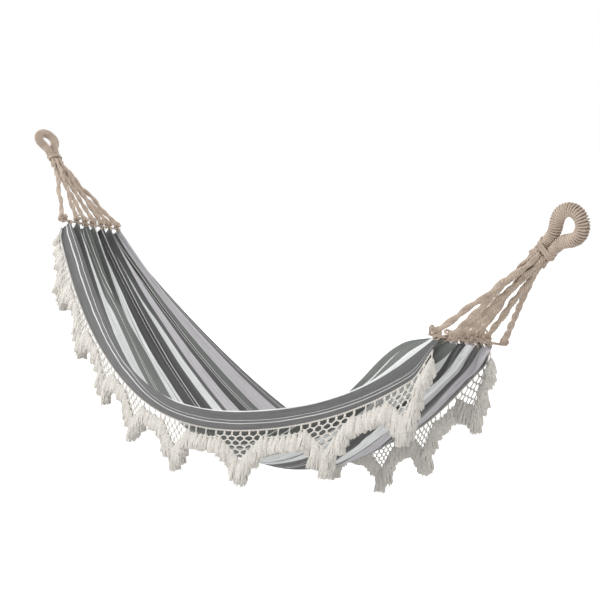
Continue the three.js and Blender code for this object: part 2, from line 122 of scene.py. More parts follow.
# Which thread, in millimetres from the near edge, hangs at which column: the cloth is drawn
# over its near crest by a different width at the head end, the head half and the foot half,
# and the foot end's pleats hide some stripes
FAR_THREADS = ((13.6, 333), (15.3, 406), (19.2, 527), (22.8, 643), (25.3, 744), (27, 848),
               (28, 930))
HEAD_END_THREADS = ((0, 0), (2, 50), (5.1, 82), (5.6, 200), (9, 262), *FAR_THREADS)
HEAD_THREADS = ((0, 0), (2, 50), (5.1, 82), (9, 209), *FAR_THREADS)
FOOT_THREADS = ((0, 0), (1.8, 82), (5, 209), (9.6, 333), (14.6, 478), (21.4, 643), (24.4, 744),
                (25.8, 848), (28, 930))
FOOT_END_THREADS = ((0, 0), (1.8, 82), (2.6, 209), (8, 333), (11.2, 406), (14, 527), (17.4, 573),
                    (17.7, 589), (19.3, 643), (23.3, 744), (27.2, 848), (28, 930))
# Where along the cloth one of these hands over to the next, by the crest and beyond it
HEAD_END_RUN, FOOT_END_RUN = (0.08, 0.22), (0.58, 0.82)
CREST_RUN, BEYOND_RUN = (0.36, 0.54), (0.16, 0.92)
BEYOND_COLUMNS = (2.6, 11)


def lerp(a, b, t):
    return a + (b - a) * t


def unit(v):
    v = np.asarray(v, float)
    return v / np.maximum(np.linalg.norm(v, axis=-1, keepdims=True), 1e-12)


def smooth_step(a, b, x):
    t = np.clip((x - a) / (b - a), 0, 1)
    return t * t * (3 - 2 * t)


def around(first, second, angle):
    """Steps of one unit at each angle from the first way towards the second."""
    return first * np.cos(angle)[..., None] + second * np.sin(angle)[..., None]


def trough_middle(t):
    """The cloth's cross-section half way along."""
    even = t - TROUGH_EVEN * np.sin(2 * np.pi * t) / (2 * np.pi)
    chord = np.subtract(FAR_EDGE, CREST)
    below = unit([chord[1], -chord[0]])
    depth = TROUGH_DEPTH * (1 - (2 * even - 1) ** 2)
    return [CREST[i] + chord[i] * even + below[i] * depth for i in (0, 1)]


def gathered_line(t, s):
    """The straight line that the cloth's cross-section turns into towards its ends."""
    head, foot = ([lerp(a, b, t) for a, b in zip(*line)] for line in (HEAD_LINE, FOOT_LINE))
    return [lerp(head[i], foot[i], s) for i in (0, 1)]


def run_out(s, shares):
    """1 in the middle of the cloth and 0 at its ends, fuller or thinner by each end's share."""
    middle = 2 * s - 1
    share = lerp(shares[0], shares[1], s)
    return 1 - (1 + share) * middle ** 2 + share * middle ** 4


def warp_point(t, s):
    """A point of the smooth cloth: t from the near crest to the far edge, s from head to foot."""
    middle, centre, line = trough_middle(t), gathered_line(t, 0.5), gathered_line(t, s)
    y = line[0] + (middle[0] - centre[0]) * lerp(run_out(s, NEAR_WIDTH), run_out(s, FAR_WIDTH), t)
    z = line[1] + (middle[1] - centre[1]) * lerp(run_out(s, NEAR_SAG), run_out(s, FAR_SAG), t)
    x = lerp(END_INSETS[0], SPAN - END_INSETS[1], s) + 0 * t
    return np.stack([x, y, z], -1)


def pleat_direction(s):
    """The way that pleats rise: up, and square to the cloth's middle line."""
    step = 1 / ROWS ** 2
    half = np.full_like(s, 0.5)
    slope = warp_point(half, s + step) - warp_point(half, s - step)
    return unit(np.stack([-slope[..., 2], np.zeros_like(s), slope[..., 0]], -1))


def foot_fold(column, s):
    """How high the foot end's high fold stands, as the part's source has it."""
    across = np.minimum(np.abs(column - FOLD_COLUMN) / FOLD_COLUMNS, 1)
    along = np.maximum(s - FOLD_START, 0) / (1 - FOLD_START)
    return FOLD_RISE * np.cos(np.pi / 2 * across) ** 2 * np.sin(np.pi * along ** 2)


def cloth_point(column, s):
    """A point of the pleated cloth, as the part's source places it."""
    from_middle = np.abs(2 * s - 1)
    t = np.maximum(column - BORDER_COLUMNS, 0) / (COLUMNS - BORDER_COLUMNS)
    point = warp_point(t, s)
    turned = (1 - from_middle ** 2) ** BORDER_POWER
    hang = np.radians(lerp(lerp(BORDER_HEAD, BORDER_HANG, s), BORDER_HANG, turned))
    width = lerp(*BORDER_WIDTHS, s) * np.maximum(1 - column / BORDER_COLUMNS, 0)
    width = width * lerp(1, lerp(*BORDER_ENDS, s), from_middle ** 3)
    point[..., 1] -= np.cos(hang) * width
    point[..., 2] -= np.sin(hang) * width
    fold = (1 - np.cos(2 * np.pi * column / STEPS_PER_PLEAT)) / 2
    rise = lerp(*PLEAT_DEPTHS, s) * fold * from_middle ** PLEAT_POWER + foot_fold(column, s)
    return point + pleat_direction(s) * rise[..., None]


def thread_at(column, s):
    """How far from the near edge, in metres of flat cloth, the thread at a column is."""
    head_end, head, foot, foot_end = (
        np.interp(column, *zip(*table)) / 1000
        for table in (HEAD_END_THREADS, HEAD_THREADS, FOOT_THREADS, FOOT_END_THREADS))
    head = lerp(head_end, head, smooth_step(*HEAD_END_RUN, s))
    foot = lerp(foot, foot_end, smooth_step(*FOOT_END_RUN, s))
    by_crest, beyond = smooth_step(*CREST_RUN, s), smooth_step(*BEYOND_RUN, s)
    return lerp(head, foot, lerp(by_crest, beyond, smooth_step(*BEYOND_COLUMNS, column)))


def along_line(line):
    """How far along a line each of its points is."""
    return np.concatenate([[0], np.cumsum(np.linalg.norm(np.diff(line, axis=0), axis=1))])


def even_rows():
    """A table from even shares of the cloth's length to s, and that length."""
    s = np.linspace(0, 1, 1001)
    length = along_line(warp_point(np.full_like(s, 0.5), s))
    return length / length[-1], s, length[-1]


EVEN_SHARES, EVEN_S, CLOTH_LENGTH = even_rows()


def s_at(share):
    return np.interp(share, EVEN_SHARES, EVEN_S)


# Meshes: strands, and how they become one piece


class Strands:
    """Gathers round strands into one mesh, with u round a strand and v along it in metres."""

    def __init__(self):
        self.points, self.faces, self.corners, self.count = [], [], [], 0

    def add_surface(self, points, faces, corners):
        self.faces.append(faces + self.count)
        self.corners.append(corners)
        self.points.append(points)
        self.count += len(points)

    def add(self, lines, radii, sides=6, closed=False):
        """lines is (n, k, 3): n strands of k points. radii broadcasts to (n, k)."""
        lines = np.asarray(lines, float)
        if lines.ndim == 2:
            lines = lines[None]
        n, k, _ = lines.shape
        radii = np.broadcast_to(np.asarray(radii, float), (n, k))
        first, second = frames_along(lines, closed)
        ring = around(first[:, :, None], second[:, :, None], 2 * np.pi * np.arange(sides) / sides)
        points = lines[:, :, None] + ring * radii[:, :, None, None]
        spans = k if closed else k - 1
        i, j = np.meshgrid(np.arange(spans), np.arange(sides), indexing="ij")
        here, after, turn = i * sides, ((i + 1) % k) * sides, (j + 1) % sides
        quads = np.stack([here + j, here + turn, after + turn, after + j], -1).reshape(-1, 4)
        quads = (quads[None] + (np.arange(n) * k * sides)[:, None, None]).reshape(-1, 4)
        steps = np.linalg.norm(np.diff(np.concatenate([lines, lines[:, :1]], 1), axis=1), axis=2)
        along = np.concatenate([np.zeros((n, 1)), np.cumsum(steps, 1)], 1)
        v0, v1 = along[:, :spans], along[:, 1:spans + 1]
        u0, u1, shape = j / sides, (j + 1) / sides, (n, spans, sides)
        corners = np.stack([
            np.stack([np.broadcast_to(u, shape), np.broadcast_to(v[:, :, None], shape)], -1)
            for u, v in ((u0, v0), (u1, v0), (u1, v1), (u0, v1))], 3).reshape(-1, 4, 2)
        self.add_surface(points.reshape(-1, 3), quads, corners)
        if not closed:
            self.add_caps(points, sides)

    def add_caps(self, points, sides):
        """Closes each open strand with a pointed cap of flat faces at both ends."""
        n, k = points.shape[:2]
        for end, order in ((0, 1), (k - 1, -1)):
            middle = points[:, end].mean(1)
            ring = points[:, end].reshape(-1, 3)
            base = np.arange(n)[:, None] * sides
            j = np.arange(sides)[None]
            a, b = base + j, base + (j + 1) % sides
            apex = np.broadcast_to(n * sides + np.arange(n)[:, None], a.shape)
            sides_in_order = [b, a] if order > 0 else [a, b]
            faces = np.stack([*sides_in_order, apex, apex], -1).reshape(-1, 4)
            self.add_surface(np.concatenate([ring, middle]), faces, np.zeros((len(faces), 4, 2)))

    def piece(self, name, material):
        faces, corners = np.concatenate(self.faces), np.concatenate(self.corners)
        cap = faces[:, 2] == faces[:, 3]
        lists = faces[~cap].tolist() + faces[cap][:, :3].tolist()
        uv = np.concatenate([corners[~cap].reshape(-1, 2), corners[cap][:, :3].reshape(-1, 2)])
        return make_piece(name, np.concatenate(self.points), lists, uv, material)


def make_piece(name, points, faces, uv, material):
    mesh = bpy.data.meshes.new(name)
    mesh.from_pydata(points.tolist(), [], faces)
    mesh.uv_layers.new(name="UVMap").data.foreach_set("uv", uv.astype(np.float32).ravel())
    mesh.shade_smooth()
    mesh.validate()
    piece = bpy.data.objects.new(name, mesh)
    bpy.context.scene.collection.objects.link(piece)
    mesh.materials.append(material)
    return piece


def stand_for(piece, node, body):
    """Hides the plain solid that a piece replaces, and attaches the piece to what it moves with."""
    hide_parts(node)
    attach(piece, body)


def frames_along(lines, closed=False):
    """Two unit vectors square to each point of (n, k, 3) lines, carried along without twist."""
    if closed:
        ahead = np.roll(lines, -1, axis=1) - np.roll(lines, 1, axis=1)
    else:
        ahead = np.gradient(lines, axis=1)
    ahead = unit(ahead)
    first = np.zeros_like(ahead)
    start = np.where(np.abs(ahead[:, 0, 2:3]) < 0.9, [[0.0, 0.0, 1.0]], [[0.0, 1.0, 0.0]])
    normal = unit(np.cross(ahead[:, 0], start))
    for i in range(lines.shape[1]):
        normal = unit(normal - ahead[:, i] * np.sum(normal * ahead[:, i], -1, keepdims=True))
        first[:, i] = normal
    second = np.cross(ahead, first)
    if closed:
        back = unit(normal - ahead[:, 0] * np.sum(normal * ahead[:, 0], -1, keepdims=True))
        slip = np.arctan2(np.sum(back * second[:, 0], -1), np.sum(back * first[:, 0], -1))
        turn = -slip[:, None] * np.arange(lines.shape[1]) / lines.shape[1]
        c, s = np.cos(turn)[..., None], np.sin(turn)[..., None]
        first, second = first * c + second * s, second * c - first * s
    return first, second


def resample(line, count, closed=False):
    """A line through points, redrawn with count evenly spaced points."""
    line = np.asarray(line, float)
    if closed:
        line = np.concatenate([line, line[:1]])
    length = along_line(line)
    at = np.linspace(0, length[-1], count + 1 if closed else count)[:count]
    return np.stack([np.interp(at, length, line[:, i]) for i in range(3)], -1)


def line_length(line):
    return float(np.linalg.norm(np.diff(line, axis=0), axis=1).sum())


def bezier(a, b, c, d, count):
    t = np.linspace(0, 1, count)[:, None]
    return a * (1 - t) ** 3 + 3 * b * t * (1 - t) ** 2 + 3 * c * t ** 2 * (1 - t) + d * t ** 3


def wind(line, offset, turns, phases, closed=False):
    """Lines that wind round a line at a distance, one for each phase in turns."""
    first, second = (f[0] for f in frames_along(line[None], closed))
    share = np.arange(len(line)) / (len(line) if closed else len(line) - 1)
    angle = 2 * np.pi * (np.asarray(phases)[:, None] + turns * share)
    reach = np.broadcast_to(offset, (len(line),))[None, :, None]
    return line[None] + reach * around(first, second, angle)


# The radius of each strand of a laid cord, and how far it is from the middle, by strands
STRAND_SHARES = {2: (0.65, 0.37), 3: (0.46, 0.54)}
# Yarns turn this much faster than strands, the other way, and press into each other
YARN_TURNS, YARN_PRESS, STRAND_PRESS = -2.2, 1.16, 1.05
FINE_STEP, CORD_STEP = 0.0022, 0.0026


def laid_cord(strands, line, radius, pitch, laid=2, yarns=4, step=CORD_STEP, closed=False,
              girth=(1, 1)):
    """A laid cord: strands wound round the line, and yarns wound the other way in each strand."""
    length = line_length(line)
    count = max(int(length / step), 12)
    line = resample(line, count, closed)
    turns = length / pitch
    turns = max(round(turns), 1) if closed else turns
    radius = radius * np.interp(np.linspace(0, 1, count), np.linspace(0, 1, len(girth)), girth)
    strand, reach = (share * radius for share in STRAND_SHARES[laid])
    for path in wind(line, reach, turns, np.arange(laid) / laid, closed):
        if yarns < 2:
            strands.add(path[None], strand * STRAND_PRESS, closed=closed)
            continue
        yarn = strand * math.sin(math.pi / yarns) / (1 + math.sin(math.pi / yarns))
        yarn_turns = YARN_TURNS * turns
        yarn_turns = round(yarn_turns) if closed else yarn_turns
        paths = wind(path, strand - yarn, yarn_turns, np.arange(yarns) / yarns, closed)
        strands.add(paths, yarn * YARN_PRESS, closed=closed)


# Node materials


class Nodes:
    """Short calls for building a material's nodes."""

    def __init__(self, name):
        self.material = bpy.data.materials.new(name)
        self.material.use_nodes = True
        self.tree = self.material.node_tree
        self.shader = self.tree.nodes["Principled BSDF"]

    def add(self, kind, inputs=None, **settings):
        node = self.tree.nodes.new(kind)
        for key, value in settings.items():
            setattr(node, key, value)
        for key, value in (inputs or {}).items():
            if isinstance(value, bpy.types.NodeSocket):
                self.tree.links.new(value, node.inputs[key])
            else:
                node.inputs[key].default_value = value
        return node

    def math(self, operation, a, b=0.0):
        return self.add("ShaderNodeMath", {0: a, 1: b}, operation=operation).outputs[0]

    def times(self, a, b):
        return self.math("MULTIPLY", a, b)

    def plus(self, a, b):
        return self.math("ADD", a, b)

    def mix(self, share, a, b, blend="MIX"):
        node = self.add("ShaderNodeMix", data_type="RGBA", blend_type=blend)
        for socket, value in ((node.inputs[0], share), (node.inputs[6], a), (node.inputs[7], b)):
            if isinstance(value, bpy.types.NodeSocket):
                self.tree.links.new(value, socket)
            else:
                socket.default_value = value
        return node.outputs[2]

    def shaded(self, colour, tone):
        """A colour times a grey tone."""
        return self.mix(1.0, colour, self.vector(tone, tone, tone), "MULTIPLY")

    def uv(self):
        place = self.add("ShaderNodeUVMap", uv_map="UVMap").outputs[0]
        split = self.add("ShaderNodeSeparateXYZ", {0: place})
        return split.outputs[0], split.outputs[1]

    def vector(self, x, y, z=0.0):
        return self.add("ShaderNodeCombineXYZ", {0: x, 1: y, 2: z}).outputs[0]

    def noise(self, vector, scale, detail=2.0, rough=0.5):
        inputs = {"Vector": vector, "Scale": scale, "Detail": detail, "Roughness": rough}
        return self.add("ShaderNodeTexNoise", inputs).outputs[0]

    def spread(self, value, low, high):
        """Maps the middle of a noise to low..high."""
        inputs = {0: value, 1: 0.3, 2: 0.7, 3: low, 4: high}
        return self.add("ShaderNodeMapRange", inputs).outputs[0]

    def finish(self, colour, height, distance, strength, sheen=0.15):
        """A dry, matt surface of a colour, raised by a height. Returns its material."""
        relief = {"Height": height, "Distance": distance, "Strength": strength}
        bump = self.add("ShaderNodeBump", relief)
        inputs = self.shader.inputs
        self.tree.links.new(colour, inputs["Base Color"])
        self.tree.links.new(bump.outputs[0], inputs["Normal"])
        inputs["Roughness"].default_value = 0.9
        inputs["Specular IOR Level"].default_value = 0.2
        inputs["Sheen Weight"].default_value = sheen
        inputs["Sheen Roughness"].default_value = 0.6
        return self.material


def rgba(colour):
    return (*colour, 1.0)


def stripe_ramp(nodes, position, stripes, settings):
    """A ramp of hard-edged stripes: position runs from 0 to 1 over them."""
    ramp = nodes.add("ShaderNodeValToRGB", {0: position})
    ramp.color_ramp.interpolation = "CONSTANT"
    total = sum(width for _, width in stripes)
    stops = ramp.color_ramp.elements
    while len(stops) < len(stripes):
        stops.new(1.0)
    start = 0
    for stop, (yarn, width) in zip(stops, stripes):
        stop.position = start / total
        stop.color = rgba(getattr(settings, yarn))
        start += width
    return ramp.outputs[0]


# How far the stripes' edges wander, in metres, and how finely
STRIPE_SHAKE, SHAKE_SCALE = 0.0012, 9.0
# Waves to the metre across and along the cloth of its warp yarns, weft yarns and dye streaks,
# and the waves to the metre of its larger patches
WARP_GRAIN, WEFT_GRAIN, STREAK_GRAIN, PATCH_SCALE = (900.0, 14.0), (30.0, 700.0), (160.0, 3.0), 5.0


def cloth_material(settings):
    """Plain-woven cotton: dyed stripes along the warp, slubs, and the weave as a fine bump."""
    nodes = Nodes("striped cotton")
    u, v = nodes.uv()
    thread, weft, streak = (
        nodes.noise(nodes.vector(nodes.times(u, across), nodes.times(v, along)), 1.0, detail)
        for (across, along), detail in ((WARP_GRAIN, 2.0), (WEFT_GRAIN, 2.0), (STREAK_GRAIN, 4.0)))
    patch = nodes.noise(nodes.vector(u, v), PATCH_SCALE, 3.0)
    shake = nodes.spread(nodes.noise(nodes.vector(u, v), SHAKE_SCALE), -STRIPE_SHAKE, STRIPE_SHAKE)
    share = nodes.math("DIVIDE", nodes.plus(u, shake), settings.width)
    # A ramp holds 32 stops at most, so each half of the width has its own
    half = len(STRIPES) // 2
    widths = [width for _, width in STRIPES]
    split = sum(widths[:half]) / sum(widths)
    low = stripe_ramp(nodes, nodes.math("DIVIDE", share, split), STRIPES[:half], settings)
    upper = nodes.math("DIVIDE", nodes.math("SUBTRACT", share, split), 1 - split)
    high = stripe_ramp(nodes, upper, STRIPES[half:], settings)
    tone = nodes.times(nodes.spread(thread, 0.8, 1.17), nodes.spread(weft, 0.9, 1.09))
    tone = nodes.times(tone, nodes.spread(streak, 0.83, 1.14))
    tone = nodes.times(tone, nodes.spread(patch, 0.95, 1.04))
    colour = nodes.shaded(nodes.mix(nodes.math("GREATER_THAN", share, split), low, high), tone)
    warp, picks = (nodes.math("SINE", nodes.times(way, 2 * math.pi / settings.thread))
                   for way in (u, v))
    height = nodes.plus(nodes.times(nodes.times(warp, picks), 0.4), nodes.plus(thread, weft))
    return nodes.finish(colour, height, distance=0.0004, strength=0.5)


# Plies round a strand, fibre waves round and along it, and the scales of its patches and its fuzz
PLIES, FIBRE_GRAIN, FIBRE_PATCH, FUZZ_SCALE = 2.0, (7.0, 60.0), 38.0, 900.0


def fibre_material(name, settings, pitch, sheen=0.2):
    """Twisted fibre: slanting plies round each strand with painted shade in their grooves, fine
    fibres along them, uneven colour.
    """
    nodes = Nodes(name)
    u, v = nodes.uv()
    lay = nodes.plus(nodes.times(u, PLIES), nodes.math("DIVIDE", v, pitch))
    ply = nodes.math("SINE", nodes.times(lay, 2 * math.pi))
    place = nodes.add("ShaderNodeTexCoord").outputs["Object"]
    across, along = FIBRE_GRAIN
    fibres = nodes.noise(nodes.vector(nodes.times(lay, across), nodes.times(v, along)), 1.0, 3.0)
    patch = nodes.noise(place, FIBRE_PATCH, 3.0)
    fuzz = nodes.noise(place, FUZZ_SCALE, 3.0, 0.7)
    share = nodes.plus(nodes.spread(patch, 0.0, 0.55), nodes.spread(fibres, -0.1, 0.4))
    share = nodes.math("MAXIMUM", nodes.math("MINIMUM", share, 1.0), 0.0)
    tint = nodes.mix(share, rgba(settings.colour), rgba(settings.shade))
    # Painted shade: the colour is up to a tenth darker in the grooves between plies, where the bump
    # sinks
    groove_shaded_tint = nodes.shaded(tint, nodes.plus(nodes.times(ply, 0.05), 0.95))
    height = nodes.plus(nodes.times(ply, 0.5), nodes.plus(fibres, fuzz))
    return nodes.finish(groove_shaded_tint, height, distance=0.0008, strength=0.7, sheen=sheen)


def floor_finish(settings):
    """The floor: matt, with a faint unevenness, and lifted to white where it is looked at."""
    nodes = Nodes("pale floor")
    grain = nodes.noise(nodes.add("ShaderNodeTexCoord").outputs["Object"], 3.0, 3.0)
    tint = nodes.shaded(rgba(settings.floor), nodes.spread(grain, 0.98, 1.0))
    material = nodes.finish(tint, grain, distance=0.001, strength=0.1, sheen=0)
    whiten(material, settings.lift)
    return material


# Settings that a user would change


def metres(name, description, default):
    return FloatProperty(name=name, description=description, default=default, unit="LENGTH")


def whole(name, description, default):
    return IntProperty(name=name, description=description, default=default)


def dye(name, description, default):
    return FloatVectorProperty(name=name, description=description, default=default, subtype="COLOR")


class HammockClothSettings(bpy.types.PropertyGroup):
    """The cloth's cut, folds and dyes."""

    width: metres("Width", "Flat width of the cloth", 0.93)
    thickness: metres("Thickness", "Thickness of the cloth", 0.0016)
    thread: metres("Thread pitch", "From thread to thread", 0.0016)
    across: whole("Faces across", "Faces across the cloth", 308)
    along: whole("Faces along", "Faces along the cloth", 300)
    crease: metres("Crease depth", "Depth of the small creases at the gathered ends", 0.0075)
    valley: metres("Fold depth", "Depth of the two long folds at the head end", 0.036)
    gather: metres("Gather depth", "How much deeper the pleats are at their very ends", 0.013)
    grey: dye("Grey", "Grey yarn", (0.152, 0.151, 0.151))
    sage: dye("Sage", "Green-grey yarn", (0.175, 0.187, 0.176))
    dark: dye("Dark", "Dark grey yarn", (0.085, 0.084, 0.085))
    pale: dye("Pale", "Pale yarn", (0.81, 0.83, 0.825))
    lilac: dye("Lilac", "Pale warm yarn", (0.585, 0.565, 0.59))
    white: dye("White", "Bleached yarn", (0.75, 0.76, 0.745))


class HammockFringeSettings(bpy.types.PropertyGroup):
    """The knotted net, its tassels and their colour."""

    cord: metres("Cord radius", "Radius of the net's cord", 0.0021)
    long_scallop: metres("Long scallop", "From what length a scallop has one wide gap more", 0.276)
    knot: metres("Knot length", "Height of each knot of the net", 0.007)
    yarns: whole("Yarns", "Yarns on the outside of one tassel", 38)
    yarn: metres("Yarn radius", "Radius of a tassel's yarn", 0.0018)
    flare: metres("Flare", "Radius of a tassel at its foot", 0.018)
    colour: dye("Colour", "Fringe cotton", (0.86, 0.83, 0.775))
    shade: dye("Shade", "Darker fringe cotton", (0.78, 0.74, 0.68))


class HammockRopeSettings(bpy.types.PropertyGroup):
    """The clew cords, knots, draw cords and whipped eyes."""

    radius: metres("Cord radius", "Radius of a clew cord", 0.0091)
    pitch: metres("Lay", "Length of one whole turn of a cord's strand", 0.098)
    turns: whole("Whipping turns", "Turns of cord round each eye", 50)
    whipping: metres("Whipping radius", "Radius of the cord wound round each eye", 0.0028)
    colour: dye("Colour", "Rope fibre", (0.67, 0.55, 0.45))
    shade: dye("Shade", "Darker rope fibre", (0.41, 0.325, 0.255))


class HammockStageSettings(bpy.types.PropertyGroup):
    """The floor and the light."""

    floor_drop: metres("Floor", "How far below the eyes the floor is", 1.36)
    floor: dye("Floor colour", "Colour of the floor", (0.75, 0.75, 0.75))
    key: FloatProperty(name="Key light", description="Power of the large lamp", default=105,
                       unit="POWER")
    world: FloatProperty(name="Sky", description="Strength of the even light", default=0.55)
    lift: FloatProperty(name="White floor", description="How much whiter the camera sees the floor",
                        default=0.57)


# The cloth

# Columns at each long edge over which creases and folds die away, and the creases' share there
CALM_COLUMNS, CALM_CREASES = (3.0, 1.5), 0.25
# How fast the pleats deepen towards the ends, and how far their tips slip along the bed
GATHER_POWER, SLIP_SHARE, SLIP_POWER = 14, 0.15, 30
# Passes that round the near crest, and the columns that they reach
CREST_PASSES, CREST_REACH = 6, 0.5
# The foot end's high fold, drawn up at its end and sunk at its start: height in metres,
# column, columns wide, and where along the cloth
FOOT_PEAK, FOOT_PEAK_RUN = (0.052, 4.0, 1.5), (0.88, 0.975)
FOOT_DIP, FOOT_DIP_AT, FOOT_DIP_LONG = (0.034, 6.0, 2.6), 0.835, 0.075
# How much of its width the border loses at the foot, and each pleat at the two tied ends,
# with where along the cloth each starts
BORDER_TAPER, HEAD_PINCH, FOOT_PINCH = (0.25, 0.95), (0.2, 0.02), (0.62, 0.955)


def hump(x, middle, width):
    return np.exp(-((x - middle) / width) ** 2)


def cloth_grid(settings):
    """The dressed cloth's points by row and column, with its columns and rows as shares."""
    rows = s_at(smooth_ends(np.linspace(0, 1, settings.along + 1)))
    columns = np.linspace(0, COLUMNS, settings.across + 1)
    column, s = np.meshgrid(columns, rows)
    from_middle = np.abs(2 * s - 1)
    points = cloth_point(column, s)
    inside = smooth_step(0, CALM_COLUMNS[0], column)
    inside = inside * smooth_step(COLUMNS, COLUMNS - CALM_COLUMNS[1], column)
    rise = creases(column, s, settings.crease) * lerp(CALM_CREASES, 1, inside)
    rise -= head_valleys(column, s, settings.valley) * inside
    gather = settings.gather * (1 + np.cos(2 * np.pi * column / STEPS_PER_PLEAT)) / 2 * inside
    rise += foot_peak(column, s) - gather * from_middle ** GATHER_POWER
    points += pleat_direction(s) * rise[..., None]
    points[..., 0] -= SLIP_SHARE * gather * np.sign(2 * s - 1) * from_middle ** SLIP_POWER
    points = draw_in(points, column, s)
    near = hump(columns, BORDER_COLUMNS, CREST_REACH)[None, 1:-1, None]
    for _ in range(CREST_PASSES):
        points[:, 1:-1] += near * ((points[:, :-2] + points[:, 2:]) / 2 - points[:, 1:-1])
    return points, column, s


def foot_peak(column, s):
    """How the foot end's high fold is drawn up to its first cords: sunk at its start, then high."""
    peak = FOOT_PEAK[0] * hump(column, *FOOT_PEAK[1:]) * smooth_step(*FOOT_PEAK_RUN, s)
    return peak - FOOT_DIP[0] * hump(column, *FOOT_DIP[1:]) * hump(s, FOOT_DIP_AT, FOOT_DIP_LONG)


def draw_in(points, column, s):
    """Narrows the border towards the foot, and bunches each pleat where a cord is tied to it."""
    crest = cloth_point(np.full_like(column, BORDER_COLUMNS), s)
    taper = BORDER_TAPER[0] * smooth_step(BORDER_TAPER[1], 1, s) * (column < BORDER_COLUMNS)
    points = lerp(points, crest, taper[..., None])
    pleat = np.clip(np.round(column / STEPS_PER_PLEAT - 0.5), 0, PLEATS - 1)
    tied = cloth_point(STEPS_PER_PLEAT * (pleat + 0.5), s)
    pinch = FOOT_PINCH[0] * smooth_step(FOOT_PINCH[1], 1, s)
    pinch = pinch + HEAD_PINCH[0] * smooth_step(HEAD_PINCH[1], 0, s)
    return lerp(points, tied, pinch[..., None])


# How the rows are packed: waves along the cloth, and how strongly each packs them
ROW_PACKING = ((2, 0.09), (1, 0.55))


def smooth_ends(share):
    """Packs the rows closer together towards the gathered ends."""
    packed = share
    for waves, pull in ROW_PACKING:
        angle = 2 * np.pi * waves
        packed = packed - pull * np.sin(angle * share) / angle
    return packed


# The creases: those of the ends by waves to a pleat, how fast they die away towards the middle and
# their share of the depth, and the long ones by waves to a pleat, waves along and depth in metres
END_CREASES = ((1.5, 2.6, 0.9), (2.25, 4, 1.0), (3.75, 8, 0.8), (6.5, 15, 0.55), (10.5, 26, 0.4))
LONG_CREASES = ((0.35, 1.7, 0.0028), (0.8, 2.9, 0.0016), (1.7, 4.3, 0.0007))
# How far each kind swings aside, in radians, how often the first kind does along the cloth, how
# sharp its ridges are, and by how much and how often its depth changes from column to column
END_SWING, LONG_SWING, END_SWINGS, RIDGE_POWER = 1.1, 1.6, 3.1, 1.4
DEPTH_CHANGE, DEPTH_WAVES = 0.4, 1.9


def creases(column, s, depth):
    """Small creases: tight at the gathered ends, long and shallow in the middle."""
    from_middle = np.abs(2 * s - 1)
    rng = np.random.default_rng(11)
    rise = np.zeros_like(column)
    for waves, power, share in END_CREASES:
        phase, drift, turn = rng.uniform(0, 2 * np.pi, 3)
        angle = 2 * np.pi * waves * column / STEPS_PER_PLEAT + phase
        angle = angle + END_SWING * np.sin(END_SWINGS * s * np.pi + drift)
        wave = 1 - 2 * np.abs(np.sin(angle / 2)) ** RIDGE_POWER
        fade = from_middle ** power * (1 + DEPTH_CHANGE * np.sin(DEPTH_WAVES * column + turn))
        rise += depth * share * wave * fade
    for waves, along, share in LONG_CREASES:
        phase, drift = rng.uniform(0, 2 * np.pi, 2)
        angle = 2 * np.pi * waves * column / STEPS_PER_PLEAT + phase
        angle = angle + LONG_SWING * np.sin(along * np.pi * s + drift)
        rise += share * np.sin(angle) * (1 - from_middle ** 4)
    return rise


# The two long folds of the head end: where each starts and ends, as (column, s), its width in
# columns and its share of the depth
HEAD_VALLEYS = (((11.9, 0.0), (15.2, 0.27), 1.0, 1.0), ((19.6, 0.0), (20.6, 0.17), 0.8, 0.6))
# How round their bottoms are, from which share of their length they run out, their depth at the
# very end of the cloth, and the s where they are at their deepest
VALLEY_ROUNDING, VALLEY_RUN_OUT, VALLEY_BEGIN, VALLEY_DEEPEST = 0.03, 0.55, 0.5, 0.05


def head_valleys(column, s, depth):
    """How far the cloth sinks between the pleats of the head end."""
    sink = np.zeros_like(column)
    for (column_a, s_a), (column_b, s_b), width, share in HEAD_VALLEYS:
        middle = lerp(column_a, column_b, s / s_b)
        side = np.sqrt((column - middle) ** 2 + VALLEY_ROUNDING) / width
        begin = lerp(VALLEY_BEGIN, 1, smooth_step(s_a, VALLEY_DEEPEST, s))
        fade = smooth_step(s_b, VALLEY_RUN_OUT * s_b, s) * begin
        sink += depth * share * np.exp(-side) * fade
    return sink


class HAMMOCK_OT_cloth(bpy.types.Operator):
    """Make the striped cloth, drawn into pleats at its two ends"""

    bl_idname = "hammock.make_cloth"
    bl_label = "Cloth"

    def execute(self, context):
        settings = context.scene.hammock_cloth
        points, column, s = cloth_grid(settings)
        along = np.cumsum(np.linalg.norm(np.diff(points, axis=0), axis=2).mean(1))
        along = np.concatenate([[0], along])[:, None] + 0 * column
        normal = unit(np.cross(np.gradient(points, axis=0), np.gradient(points, axis=1)))
        offset = normal * settings.thickness / 2
        layers = np.concatenate([points + offset, points - offset]).reshape(-1, 3)
        rows, columns = column.shape
        count = rows * columns
        grid = np.arange(count).reshape(rows, columns)
        upper = np.stack([grid[:-1, :-1], grid[:-1, 1:], grid[1:, 1:], grid[1:, :-1]], -1)
        upper = upper.reshape(-1, 4)
        rims = []
        for a, b in ((grid[0, 1:], grid[0, :-1]), (grid[-1, :-1], grid[-1, 1:]),
                     (grid[:-1, 0], grid[1:, 0]), (grid[1:, -1], grid[:-1, -1])):
            rims.append(np.stack([a, b, b + count, a + count], -1))
        faces = np.concatenate([upper, upper[:, ::-1] + count, *rims])
        uv = np.tile(np.stack([thread_at(column, s), along], -1).reshape(-1, 2), (2, 1))[faces]
        cloth = make_piece("striped_cloth", layers, faces.tolist(), uv, cloth_material(settings))
        stand_for(cloth, "bed_cloth", "bed")
        return {"FINISHED"}


# The fringe

# Where each heading sits off the cloth: the near one out of the cloth's edge, the far one under it
HEADING_SHARE, FAR_HEADING_SHIFT = 0.8, (0.0, 0.001, -0.0038)
OUTSET_DROP = 0.01


